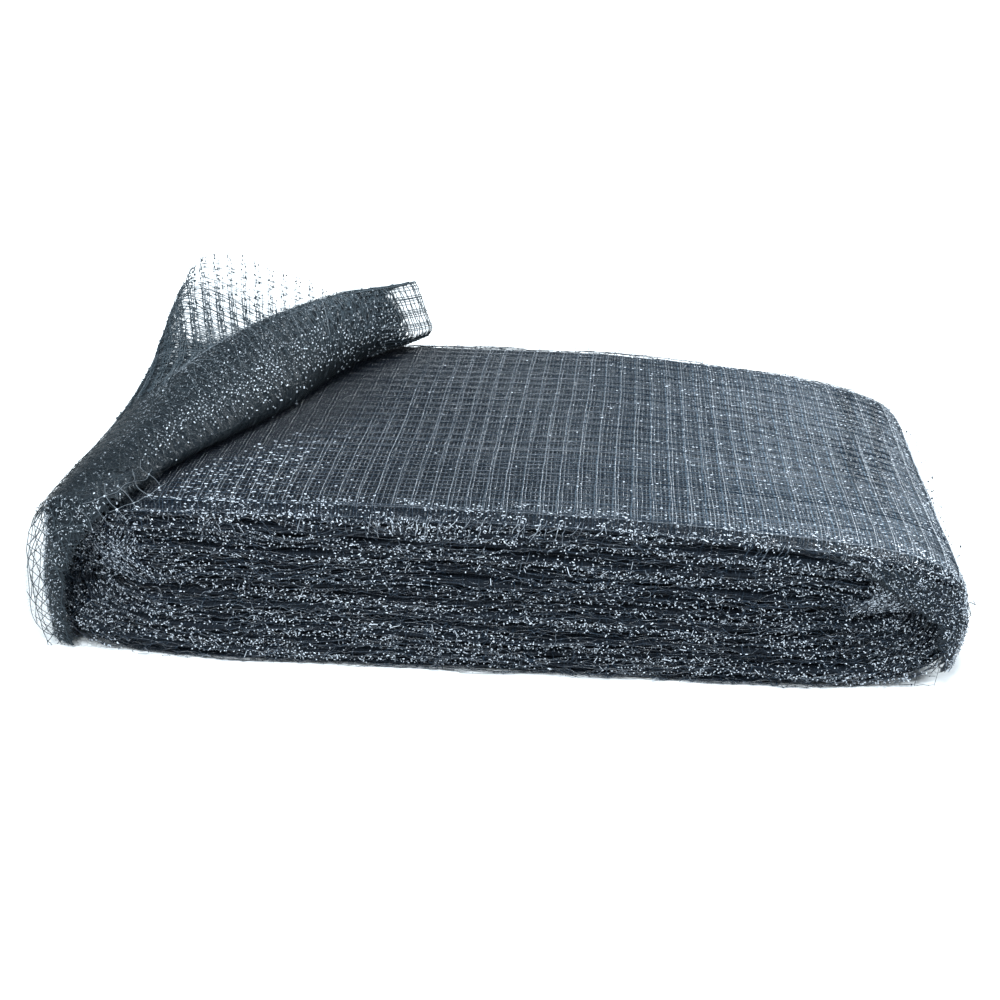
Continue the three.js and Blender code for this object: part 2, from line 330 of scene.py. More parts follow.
class LooseEnd:
    """The lifted sheet, by depth and by distance from the roll's left edge (veil below zero, hood above)."""
    ROWS, STEP = 72, 2.5
    LOW, HIGH = -112.0, 345.0
    # Steps between two named points of a section.
    SPAN = 10

    def __init__(self):
        self.depths = np.linspace(FRONT_EDGE, BACK_EDGE, self.ROWS)
        self.runs = np.arange(self.LOW, self.HIGH + 1, self.STEP)
        place, marks = [], []
        for y in self.depths:
            line = self.flattened(smooth_line(section_points(y), self.SPAN), y)
            line = np.stack([line[:, 0], np.full(len(line), y), line[:, 1]], 1)
            run = run_along(line)
            run = run - run[self.SPAN * SECTION_NAMES.index("edge")]
            place.append(points_at(self.runs, run, line))
            marks.append(run[::self.SPAN])
        self.place = np.array(place)
        self.marks = np.array(marks)
        self.normal = unit(np.cross(np.gradient(self.place, axis=1), np.gradient(self.place, axis=0)))

    def flattened(self, line, y):
        """Pulls a section straight on both sides of its crest near the back, where the tube is pointed."""
        pull = float(rises(y, 96, 36))
        t = np.linspace(0, 1, self.SPAN + 1)[:, None]
        for name in ("dip", "crest"):
            first = self.SPAN * SECTION_NAMES.index(name)
            last = first + self.SPAN
            straight = line[first] * (1 - t) + line[last] * t
            line[first:last + 1] += pull * (straight - line[first:last + 1])
        return line

    def mark(self, y, name):
        """Distance of a named point from the roll's left edge at a depth."""
        return np.interp(y, self.depths, self.marks[:, SECTION_NAMES.index(name)])

    def limit(self, y):
        return self.mark(y, "hem end")

    def closeness(self, y, run):
        """How tightly the layers lie together at a place: 1 closed, 0 clear net."""
        dip, foot = self.mark(y, "dip"), self.mark(y, "foot")
        wall = rises(run, -60, 25) * falls(run, dip + 22, 38) * rises(y, 12, 85)
        tube = rises(run, dip, 10) * rises(y, 104, 24) * falls(run, foot - 11, 10)
        veil = falls(run, np.where(y < -100, 6, -16), 14)
        return 1 - np.maximum(np.maximum(wall, tube), veil)

    def top(self, x, y):
        """Height of the sheet's upper side over a place."""
        i = int(np.clip(np.searchsorted(self.depths, y), 0, self.ROWS - 1))
        over = (self.runs >= 0) & (self.runs <= self.mark(y, "foot"))
        return np.interp(x, self.place[i, over, 0], self.place[i, over, 2])

    def face_share(self, y, run):
        """How far down the hood's face a place lies: 0 at the crest, 1 at the foot."""
        crest, foot = self.mark(y, "crest"), self.mark(y, "foot")
        return (run - crest) / (foot - crest)

    def shade(self, y, run):
        """Painted shade of the sheet, as the share of light it keeps: its lower half, turned under above the
        foot, is the darkest, and its front part darker.
        """
        turned_under = rises(self.face_share(y, run), 0.4, 0.5)
        return (1 - 0.82 * turned_under) * (0.4 + 0.6 * rises(y, -120, 110))

    def at(self, y, run, stand):
        """Place on the sheet, off it by a stand; past the back edge it runs straight on."""
        y, run, stand = np.broadcast_arrays(*[np.asarray(v, float) for v in (y, run, stand)])
        past = np.maximum(0, y - BACK_EDGE)
        v = np.clip((y - FRONT_EDGE) / (BACK_EDGE - FRONT_EDGE) * (self.ROWS - 1), 0, self.ROWS - 1.0001)
        u = np.clip((run - self.LOW) / self.STEP, 0, len(self.runs) - 1.0001)
        place, normal = [sampled(table, v, u) for table in (self.place, self.normal)]
        i, j = np.floor(v).astype(int), np.floor(u).astype(int)
        onward = (self.place[i + 1, j] - self.place[i, j]) / (self.depths[1] - self.depths[0])
        return place + normal * stand[..., None] + onward * past[..., None]


# Threads

class Threads:
    """Lines of thread gathered for one piece, with their thickness, tone and knots."""

    def __init__(self):
        self.points, self.edges, self.thick, self.tone, self.knot = [], [], [], [], []
        self.count = 0

    def add(self, line, thick=1.0, tone=0.5, knots=0.0, closed=False):
        n = len(line)
        first = np.arange(self.count, self.count + n - 1)
        self.points.append(line)
        self.edges.append(np.stack([first, first + 1], 1))
        if closed:
            self.edges.append(np.array([[self.count + n - 1, self.count]]))
        for store, value in ((self.thick, thick), (self.tone, tone), (self.knot, knots)):
            store.append(np.broadcast_to(np.asarray(value, float), n))
        self.count += n

    def add_bits(self, middle, along, length, thick, tone):
        """Adds short straight twists of thread, each at its own place."""
        half = unit(along) * (length / 2)[:, None]
        first = self.count + 2 * np.arange(len(middle))
        self.points.append(np.stack([middle - half, middle + half], 1).reshape(-1, 3))
        self.edges.append(np.stack([first, first + 1], 1))
        for store, value in ((self.thick, thick), (self.tone, tone), (self.knot, np.zeros(len(middle)))):
            store.append(np.repeat(value, 2))
        self.count += 2 * len(middle)

    def add_where(self, keep, line, thick=1.0, tone=0.5, knots=0.0):
        """Adds the stretches of a line that are kept."""
        thick, tone, knots = [np.broadcast_to(np.asarray(v, float), len(line)) for v in (thick, tone, knots)]
        edges = np.flatnonzero(np.diff(np.concatenate([[0], keep.astype(int), [0]])))
        for a, b in zip(edges[::2], edges[1::2]):
            if b - a > 2:
                self.add(line[a:b], thick[a:b], tone[a:b], knots[a:b])


def knots_every(rng, count, step, low, high, first=0):
    """Sizes of the knots along a line: one by chance at every so many points, and none between."""
    return np.where((np.arange(count) + first) % step == 0, rng.uniform(low, high, count), 0)


def painted_glint_tones(rng, count, low, power):
    """Tones of twists with a painted glint, from low to the brightest."""
    return low + (1 - low) * rng.random(count) ** power


def of_two_kinds(rng, dull, dull_range, bright_range):
    """Values by chance, from one range for dull twists and from another for twists with a bright painted
    glint.
    """
    return np.where(dull, rng.uniform(*dull_range, len(dull)), rng.uniform(*bright_range, len(dull)))


def add_node(tree, kind, values=(), **settings):
    """A new node with its settings, and with values for some of its inputs."""
    made = tree.nodes.new(kind)
    for key, value in settings.items():
        setattr(made, key, value)
    for key, value in dict(values).items():
        made.inputs[key].default_value = value
    return made


def net_tree():
    """Turns lines into round threads and sets a small flat-sided knot at each marked crossing."""
    tree = bpy.data.node_groups.new("net_threads", "GeometryNodeTree")
    for name, kind in (("Lines", "Geometry"), ("Thread Radius", "Float"), ("Thread Sides", "Int"),
                       ("Knot Radius", "Float"), ("Seed", "Int"), ("Finish", "Material")):
        tree.interface.new_socket(name, in_out="INPUT", socket_type="NodeSocket" + kind)
    tree.interface.new_socket("Net", in_out="OUTPUT", socket_type="NodeSocketGeometry")

    def node(kind, values=(), **settings):
        return add_node(tree, kind, values, **settings)

    given, result = node("NodeGroupInput"), node("NodeGroupOutput")
    thick = node("GeometryNodeInputNamedAttribute", {"Name": "thick"}, data_type="FLOAT")
    to_curve = node("GeometryNodeMeshToCurve")
    ring = node("GeometryNodeCurvePrimitiveCircle", mode="RADIUS")
    tube = node("GeometryNodeCurveToMesh", {"Fill Caps": True})
    smooth = node("GeometryNodeSetShadeSmooth")

    knot = node("GeometryNodeInputNamedAttribute", {"Name": "knot"}, data_type="FLOAT")
    chosen = node("FunctionNodeCompare", {"B": 0.01}, data_type="FLOAT", operation="GREATER_THAN")
    to_points = node("GeometryNodeMeshToPoints", mode="VERTICES")
    bead = node("GeometryNodeMeshUVSphere", {"Segments": 4, "Rings": 2})
    flat = node("GeometryNodeSetShadeSmooth", {"Shade Smooth": False})
    turn = node("FunctionNodeRandomValue", {"Max": (6.283, 6.283, 6.283)}, data_type="FLOAT_VECTOR")
    size = node("FunctionNodeRandomValue", {"Min": (0.7, 0.6, 0.45), "Max": (1.7, 1.1, 0.8)},
                data_type="FLOAT_VECTOR")
    scaled = node("ShaderNodeVectorMath", operation="SCALE")
    place = node("GeometryNodeInstanceOnPoints")
    real = node("GeometryNodeRealizeInstances")
    join = node("GeometryNodeJoinGeometry")
    finish = node("GeometryNodeSetMaterial")

    for source, out, target, into in (
            (given, "Lines", to_curve, "Mesh"),
            (given, "Thread Sides", ring, "Resolution"),
            (given, "Thread Radius", ring, "Radius"),
            (to_curve, "Curve", tube, "Curve"),
            (ring, "Curve", tube, "Profile Curve"),
            (thick, "Attribute", tube, "Scale"),
            (tube, "Mesh", smooth, "Geometry"),
            (knot, "Attribute", chosen, "A"),
            (given, "Lines", to_points, "Mesh"),
            (chosen, "Result", to_points, "Selection"),
            (given, "Knot Radius", bead, "Radius"),
            (bead, "Mesh", flat, "Geometry"),
            (given, "Seed", turn, "Seed"),
            (given, "Seed", size, "Seed"),
            (size, "Value", scaled, "Vector"),
            (knot, "Attribute", scaled, "Scale"),
            (to_points, "Points", place, "Points"),
            (flat, "Geometry", place, "Instance"),
            (turn, "Value", place, "Rotation"),
            (scaled, "Vector", place, "Scale"),
            (place, "Instances", real, "Geometry"),
            (smooth, "Geometry", join, "Geometry"),
            (real, "Geometry", join, "Geometry"),
            (join, "Geometry", finish, "Geometry"),
            (given, "Finish", finish, "Material"),
            (finish, "Geometry", result, "Net")):
        tree.links.new(source.outputs[out], target.inputs[into])
    return tree


NET_TREE = net_tree()


def put(name, data):
    """A new object in the scene."""
    made = bpy.data.objects.new(name, data)
    bpy.context.scene.collection.objects.link(made)
    return made


def give_values(mesh, name, values):
    """Keeps one value for each point of a mesh."""
    layer = mesh.attributes.new(name, "FLOAT", "POINT")
    layer.data.foreach_set("value", np.asarray(values, np.float32).ravel())


def make_net(name, threads, finish, seed, radius=THREAD, knot=KNOT):
    """One plain mesh of threads and knots from gathered lines."""
    mesh = bpy.data.meshes.new(name + "_lines")
    points = np.concatenate(threads.points)
    points[:, 2] = np.maximum(points[:, 2], FLOOR_GAP)
    mesh.from_pydata((points * MM).tolist(), np.concatenate(threads.edges).tolist(), [])
    for key, values in (("thick", threads.thick), ("tone", threads.tone), ("knot", threads.knot)):
        give_values(mesh, key, np.concatenate(values))
    lines = put(name + "_lines", mesh)
    modifier = lines.modifiers.new("net", "NODES")
    modifier.node_group = NET_TREE
    sockets = {s.name: s.identifier for s in NET_TREE.interface.items_tree if s.in_out == "INPUT"}
    for key, value in (("Thread Radius", radius * MM), ("Knot Radius", knot * MM),
                       ("Thread Sides", THREAD_SIDES), ("Seed", seed), ("Finish", finish)):
        modifier[sockets[key]] = value
    graph = bpy.context.evaluated_depsgraph_get()
    made = bpy.data.meshes.new_from_object(lines.evaluated_get(graph))
    made.name = name
    piece = put(name, made)
    bpy.data.objects.remove(lines)
    bpy.data.meshes.remove(mesh)
    return piece


def make_surface(name, rows, finish, net_u, net_v, closed=False):
    """A mesh from rows of points, with its place in the net as a map: one unit for each mesh."""
    rows = np.asarray(rows)
    count, steps, _ = rows.shape
    r, c = np.meshgrid(np.arange(count - 1), np.arange(steps if closed else steps - 1), indexing="ij")
    r, c = r.ravel(), c.ravel()
    d = (c + 1) % steps
    faces = np.stack([r * steps + c, r * steps + d, (r + 1) * steps + d, (r + 1) * steps + c], 1)
    mesh = bpy.data.meshes.new(name)
    mesh.from_pydata((rows.reshape(-1, 3) * MM).tolist(), [], faces.tolist())
    mesh.materials.append(finish)
    mesh.polygons.foreach_set("use_smooth", [True] * len(mesh.polygons))
    corners = ((r, c), (r, c + 1), (r + 1, c + 1), (r + 1, c))
    places = np.stack([np.stack([net_u[at], net_v[at]], 1) for at in corners], 1)
    mesh.uv_layers.new(name="net").data.foreach_set("uv", places.astype(np.float32).ravel())
    return put(name, mesh)


# Finishes

PLAIN_MATH, VECTOR_MATH = "ShaderNodeMath", "ShaderNodeVectorMath"


class Finish:
    """A material under construction, with short ways to add and join its nodes."""

    def __init__(self, name):
        self.material = bpy.data.materials.new(name)
        self.material.use_nodes = True
        self.tree = self.material.node_tree
        self.tree.nodes.clear()
        self.shader = self.node("ShaderNodeBsdfPrincipled")
        output = self.node("ShaderNodeOutputMaterial")
        self.give(self.shader.outputs["BSDF"], output.inputs["Surface"])

    def node(self, kind, values=(), **settings):
        return add_node(self.tree, kind, values, **settings)

    def give(self, value, socket):
        """Joins an output to a socket, or sets the socket to a plain value."""
        if isinstance(value, bpy.types.NodeSocket):
            self.tree.links.new(value, socket)
        else:
            socket.default_value = value

    def surface(self, values):
        for key, value in values.items():
            self.give(value, self.shader.inputs[key])

    def attribute(self, name):
        return self.node("ShaderNodeAttribute", attribute_name=name).outputs["Fac"]

    def pattern(self, kind, along, values, **settings):
        """A pattern, or a mapping for one, that reads a place."""
        made = self.node(kind, values, **settings)
        self.give(along, made.inputs["Vector"])
        return made

    def math(self, operation, a, b, kind=PLAIN_MATH):
        made = self.node(kind, operation=operation)
        for socket, value in zip(made.inputs, (a, b)):
            self.give(value, socket)
        return made.outputs[0]

    def map(self, value, from_low, from_high, low, high, smooth=False):
        made = self.node("ShaderNodeMapRange", {"From Min": from_low, "From Max": from_high,
                                                "To Min": low, "To Max": high})
        if smooth:
            made.interpolation_type = "SMOOTHSTEP"
        self.give(value, made.inputs["Value"])
        return made.outputs["Result"]

    def bump(self, height, strength, distance, under=None):
        made = self.node("ShaderNodeBump", {"Distance": distance})
        self.give(height, made.inputs["Height"])
        self.give(strength, made.inputs["Strength"])
        if under is not None:
            self.give(under, made.inputs["Normal"])
        return made.outputs["Normal"]


# Colour of a painted glint, given to the highest tones of a thread.
PAINTED_GLINT = (0.82, 0.88, 0.96)


def thread_finish(name, deep, pale, rough, gloss):
    """Glossy black plastic thread: its tone differs, and its highest tones run up to a painted glint."""
    f = Finish(name)
    place = f.node("ShaderNodeTexCoord").outputs["Object"]
    streak = f.pattern("ShaderNodeTexNoise", place, {"Scale": 420.0, "Detail": 2.0}).outputs["Fac"]
    colour = f.node("ShaderNodeValToRGB")
    stops = colour.color_ramp.elements
    stops[0].color = (*deep, 1)
    stops[1].color = (*PAINTED_GLINT, 1)
    stops.new(0.6).color = (*pale, 1)
    f.give(f.attribute("tone"), colour.inputs["Fac"])
    f.surface({"Base Color": colour.outputs["Color"], "Roughness": f.map(streak, 0.3, 0.7, *rough),
               "Normal": f.bump(streak, 0.3, 0.0003), "IOR": 1.55, "Specular IOR Level": gloss})
    return f.material


def packed_finish(name, deep, pale, layers, glint, loosened, fading=False):
    """Many layers of net seen as one: crossed threads over dark gaps, and small flats that glint."""
    f = Finish(name)
    net = f.node("ShaderNodeUVMap", uv_map="net").outputs["UV"]
    drift = f.pattern("ShaderNodeTexNoise", net, {"Scale": 0.45, "Detail": 3.0, "Roughness": 0.6})
    centred = f.math("SUBTRACT", drift.outputs["Color"], (0.5, 0.5, 0.5), VECTOR_MATH)
    moved = f.math("ADD", net, f.math("MULTIPLY", centred, (loosened,) * 3, VECTOR_MATH), VECTOR_MATH)
    seen = None
    for turn, shift_u, shift_v, columns, rows in layers:
        placed = f.pattern("ShaderNodeMapping", moved, {"Location": (shift_u, shift_v, 0),
                                                        "Rotation": (0, 0, math.radians(turn))})
        parts = f.node("ShaderNodeSeparateXYZ")
        f.give(placed.outputs[0], parts.inputs[0])
        lines = [f.map(f.math("PINGPONG", parts.outputs[axis], 0.5), 0.0, width, depth, 0.0, smooth=True)
                 for axis, (width, depth) in (("X", columns), ("Y", rows))]
        layer = f.math("MAXIMUM", *lines)
        seen = layer if seen is None else f.math("MAXIMUM", seen, layer)
    fine = f.pattern("ShaderNodeTexNoise", net, {"Scale": 14.0, "Detail": 2.0}).outputs["Fac"]
    lean = f.pattern("ShaderNodeMapping", net, {"Rotation": (0, 0, math.radians(glint["turn"])),
                                                "Scale": (1, glint["stretch"], 1)})
    flats = f.pattern("ShaderNodeTexVoronoi", lean.outputs[0], {"Scale": glint["scale"]})
    chance = f.node("ShaderNodeSeparateColor")
    f.give(flats.outputs["Color"], chance.inputs[0])
    facet = f.math("MULTIPLY", flats.outputs["Distance"], chance.outputs["Red"])
    # The shade attribute is painted light and shade; it scales the colour, and also how strongly the flats
    # glint.
    kept = f.attribute("shade")
    shown = f.math("MULTIPLY", f.math("MULTIPLY", seen, f.map(fine, 0.3, 0.7, 0.45, 1.0)), kept)
    colour = f.node("ShaderNodeMix", {"A": (*deep, 1), "B": (*pale, 1)}, data_type="RGBA")
    f.give(shown, colour.inputs["Factor"])
    strength = f.map(kept, 0.04, 0.25, 0.1, glint["strength"])
    relief = f.bump(seen, 0.8, 0.0007)
    f.surface({"Base Color": colour.outputs["Result"], "IOR": 1.5, "Specular IOR Level": glint["sheen"],
               "Roughness": f.map(chance.outputs["Green"], 0.0, 1.0, *glint["rough"]),
               "Normal": f.bump(facet, strength, glint["depth"], relief)})
    if fading:
        fade_where_clear(f, net)
    return f.material


def fade_where_clear(f, net):
    """Lets a packed net fade, mesh by mesh, to clear where a layer or two stand alone."""
    cells = f.pattern("ShaderNodeTexVoronoi", net, {"Scale": 3.4, "Randomness": 0.7},
                      feature="DISTANCE_TO_EDGE")
    ragged = f.math("ADD", f.attribute("close"), f.map(cells.outputs["Distance"], 0.02, 0.4, 0.4, -0.4))
    f.surface({"Alpha": f.map(ragged, 0.25, 0.75, 0.0, 1.0)})


# Layers of the pattern: turn, shift along and across, then width and strength of its columns and of its rows.
NET_LAYERS = [
    (0.0, 0.0, 0.0, (0.085, 1.0), (0.08, 0.55)),
    (0.0, 0.2, 0.26, (0.05, 0.75), (0.07, 0.45)),
    (0.0, -0.2, -0.24, (0.045, 0.65), (0.07, 0.45)),
    (0.0, 0.4, 0.5, (0.04, 0.6), (0.07, 0.5)),
    (0.0, 0.58, 0.06, (0.04, 0.55), (0.05, 0.45)),
]
SKEWED_LAYERS = [
    (24.0, 0.0, 0.0, (0.1, 1.0), (0.1, 1.0)),
    (38.0, 0.3, 0.4, (0.1, 0.85), (0.1, 0.85)),
    (-8.0, 0.6, 0.2, (0.09, 0.8), (0.09, 0.8)),
    (12.0, 0.2, 0.75, (0.09, 0.65), (0.09, 0.65)),
    (51.0, 0.8, 0.55, (0.09, 0.6), (0.09, 0.6)),
]
WOUND_GLINT = dict(scale=5.0, stretch=1.0, turn=0.0, strength=0.55, depth=0.0012, rough=(0.35, 0.7),
                   sheen=0.15)
LIFTED_GLINT = dict(scale=13.0, stretch=0.8, turn=35.0, strength=0.8, depth=0.0011, rough=(0.3, 0.6),
                    sheen=0.17)

WOUND_THREAD = thread_finish("wound_thread", deep=(0.002, 0.004, 0.009), pale=(0.0145, 0.0295, 0.05),
                             rough=(0.16, 0.4), gloss=0.5)
LOOSE_THREAD = thread_finish("loose_thread", deep=(0.003, 0.007, 0.01), pale=(0.043, 0.06, 0.073),
                             rough=(0.4, 0.65), gloss=0.25)
PACKED_NET = packed_finish("packed_net", deep=(0.002, 0.004, 0.008), pale=(0.215, 0.297, 0.38),
                           layers=NET_LAYERS, glint=WOUND_GLINT, loosened=0.3)
LIFTED_NET = packed_finish("lifted_net", deep=(0.008, 0.012, 0.016), pale=(0.07, 0.092, 0.11),
                           layers=SKEWED_LAYERS, glint=LIFTED_GLINT, loosened=0.7, fading=True)


# Painted light and shade on the top

def painted_hood_shadow(x, y):
    """Painted shadow of the lifted end: the share of light painted on the roll's top beside and under it."""
    foot = np.interp(y, SECTIONS[:, 0], SECTIONS[:, SECTION_COLUMNS.index("foot_x")])
    deep = rises(y, -125, 110)
    return 0.05 + 0.95 * ease((x - foot - 2 - 6 * deep) / (16 + 48 * deep))


def painted_light_along_top(x, low, middle, high):
    """Painted light along the top: low at the left, then middle, and high where it slopes down to the right.
    """
    return low + (middle - low) * rises(x, -130, 240) + (high - middle) * rises(x, 50, 130)


# Painted shade of soft pleated bands across the top near its right end: place, slant and width.
PAINTED_PLEAT_BANDS = ((204.0, 0.1, 3.4), (221.0, 0.12, 3.0))


def painted_pleat_shade(x, y):
    """Share of the light left by the painted pleat shade."""
    dark = sum(hump((x - place - slant * y) / width) for place, slant, width in PAINTED_PLEAT_BANDS)
    return 1 - 0.55 * dark * rises(y, -90, 80)


# The roll

def packed_roll(rounds, shared):
    """The dark mass of the winding behind its outer layers of thread."""
    share, up = loop_shares(200)
    insets, tops = np.linspace(41.5, 3.2, 45), np.linspace(-132, 132, 34)
    brims = (1.0, 3.0, 6.0)

    def ring(y, inset, draw=ROLL["end_draw"]):
        x = share * (half_length(share) - inset * draw)
        return np.stack([x, np.broadcast_to(y, x.shape), face_height(share, up, inset, y)], 1)

    def face_ring(side, inset):
        """A ring on a face, and its place in the net."""
        turn = min(TURNS, key=lambda t: abs(t[0] - inset))
        out = max(turn[1] - 0.75 * (inset - turn[0]) ** 2 - 1.5, -4.5)
        return fold_point(share, up, inset, out, turn, side), LINES / 2 + side * (LINES / 2 + 1 + 0.6 * inset)

    def brim_ring(side, back):
        """A ring where the top rolls over to a face, some way back from that face."""
        y = side * (face_reach(share, up, 0.0, side) - BRIM["inside"] - back)
        inset = 0.5 + BRIM["drop"] * (1 - back / BRIM["width"]) ** 2
        return ring(y, inset), LINES / 2 * (1 + side * (1 - back / DEPTH * 2))

    def top_ring(y):
        return ring(y, 0.8 - 0.4 * rises(y, 90, 30), 1.0), (y / (FILLED * DEPTH / 2) + 1) / 2 * LINES

    made = [face_ring(-1, inset) for inset in insets] + [brim_ring(-1, back) for back in brims]
    made += [top_ring(y) for y in tops]
    made += [brim_ring(1, back) for back in brims[::-1]] + [face_ring(1, inset) for inset in insets[::-1]]
    places = np.array([place for place, _ in made])
    levels = np.array([level for _, level in made])[:, None]
    middle = places[len(insets) + len(brims) + len(tops) // 2]
    run = run_along(np.concatenate([middle, middle[:1]]))
    net_u = run / run[-1] * rounds - shared(run, (levels / LINES - 0.5) * DEPTH) / MESH
    net_v = np.broadcast_to(levels, net_u.shape)
    piece = make_surface("packed_roll", places, PACKED_NET, net_u, net_v, closed=True)
    x, y = places[..., 0], places[..., 1]
    # Painted light and shade on the core: the lifted end's painted shadow, painted light rising along the
    # top, painted pleat shade, and a painted shade of 0.1 on the front and back faces.
    shade = painted_hood_shadow(x, y) * painted_light_along_top(x, 0.06, 0.66, 1.2) * painted_pleat_shade(x, y)
    kept = np.where(y < 0, rises(y, -135, 14), falls(y, 139, 6))
    give_values(piece.data, "shade", 0.1 + (shade - 0.1) * kept)
    work = bmesh.new()
    work.from_mesh(piece.data)
    bmesh.ops.holes_fill(work, edges=[e for e in work.edges if e.is_boundary], sides=0)
    bmesh.ops.recalc_face_normals(work, faces=work.faces)
    work.to_mesh(piece.data)
    work.free()
    return piece


# Height along the middle of the top, by x.
SLOPE_X = np.linspace(-240, 240, 97)
SLOPE_Z = top_of_roll(SLOPE_X, 0.0)


def top_painted_glints(rng, threads, place, near):
    """Twists of thread with painted glints at and beside the crossings of the top, most at its right and its
    front left.
    """
    size = place.shape[:2]
    at_random = rng.random(size)
    aside = np.where(at_random < 0.6, rng.normal(2.4, 0.6, size), rng.uniform(-5, 5, size))
    beside = place + aside[..., None] * [1, 0, 0]
    beside[..., 2] += np.interp(beside[..., 0], SLOPE_X, SLOPE_Z) - np.interp(place[..., 0], SLOPE_X, SLOPE_Z)
    spots = np.concatenate([place.reshape(-1, 3), beside.reshape(-1, 3)])
    corner = falls(spots[:, 0], -82, 58) * falls(spots[:, 1], -12, 45)
    chance = 0.025 + 0.5 * rises(spots[:, 0], 20, 150) + 0.6 * corner
    chosen = (rng.random(len(spots)) < chance) & (spots[:, 2] > 50)
    chosen &= np.concatenate([near.ravel()] * 2) > np.where(corner > 0.1, 0.35, 0.75)
    bits, corner = spots[chosen] + [0, 0, 0.4], corner[chosen]
    count = len(bits)
    bits[:, 1] += rng.normal(0, 1.3, count)
    lean = rng.normal(0, 0.5, count) * (1 - 0.7 * corner)
    length = rng.uniform(0.5, 1.5, count) * (1 + 0.5 * corner)
    threads.add_bits(bits, np.stack([np.ones(count), lean, np.zeros(count)], 1), length,
                     rng.uniform(0.75, 1.3, count), painted_glint_tones(rng, count, low=0.66, power=0.9))


def wound_layer(name, wrap, rounds, shared, seed, stand, offset, under, paleness):
    """One layer of net round the roll: threads along the winding and across it, a knot at each crossing."""
    rng = np.random.default_rng(seed)
    threads = Threads()
    left_out = 14
    first, end = (0, rounds) if under else (left_out, rounds - left_out + 1)
    u = np.arange(first, end) * wrap.length / rounds
    v = (np.arange(LINES + 1) / LINES * 2 - 1) * FILLED
    grid_u, grid_v = np.meshgrid(u, v)
    y = grid_v * DEPTH / 2
    own_u = Wander(rng, length=120, strength=0.22)
    own_v = Wander(rng, length=110, strength=0.35)
    swell = Wander(rng, length=70, strength=0.45)
    run = grid_u + offset[0] + shared(grid_u, y) + own_u(grid_u, y) + rng.normal(0, 0.14, grid_u.shape)
    inner = 1 - np.abs(grid_v) ** 6
    apart = offset[1] * (0.15 + 0.85 * falls(y, -30, 70))
    drift = (apart + own_v(grid_u, y)) * inner + rng.normal(0, 0.2, grid_u.shape)
    pressed = 1 - 0.85 * rises(np.abs(grid_v), 0.82, 0.15)
    lift = (stand + np.abs(swell(grid_u, y)) + rng.uniform(0, 0.3, grid_u.shape)) * pressed
    place = wrap.at(run, np.clip(grid_v + drift / (DEPTH / 2), -1, 1), lift)
    # Painted light and shade on the threads: the lifted end's painted shadow, the painted pleat shade and the
    # painted light along the top scale their tones; in that shadow they are also thinner.
    near = painted_hood_shadow(place[..., 0], place[..., 1])
    lit = near ** 0.6 * painted_pleat_shade(place[..., 0], place[..., 1]) ** 0.5
    fine = 0.2 + 0.8 * near
    for j in range(len(v)):
        knots = rng.uniform(0.5, 1.1, len(u)) * fine[j]
        tone = rng.uniform(0.54, 0.65) * lit[j] * painted_light_along_top(place[j, :, 0], 0.93, 1.0, 1.09)
        threads.add(place[j], rng.uniform(0.65, 0.95) * fine[j], tone, knots, closed=under)
    # Painted shade on the threads across where the net rolls over to the faces.
    over = 1 - 0.3 * rises(np.abs(v), 0.93, 0.06)
    for i in range(len(u)):
        tone = rng.uniform(*paleness) * lit[:, i] * over * painted_light_along_top(place[:, i, 0], 0.94, 1.01, 1.07)
        threads.add(place[:, i], rng.uniform(0.8, 1.1) * fine[:, i], tone)
    top_painted_glints(rng, threads, place, near)
    return make_net(name, threads, WOUND_THREAD, seed, radius=0.28)


# Points round one fold, about one for every 5 mm.
FOLD_STEPS = int(2 * (ROLL["left"] + ROLL["right"]) / 5)


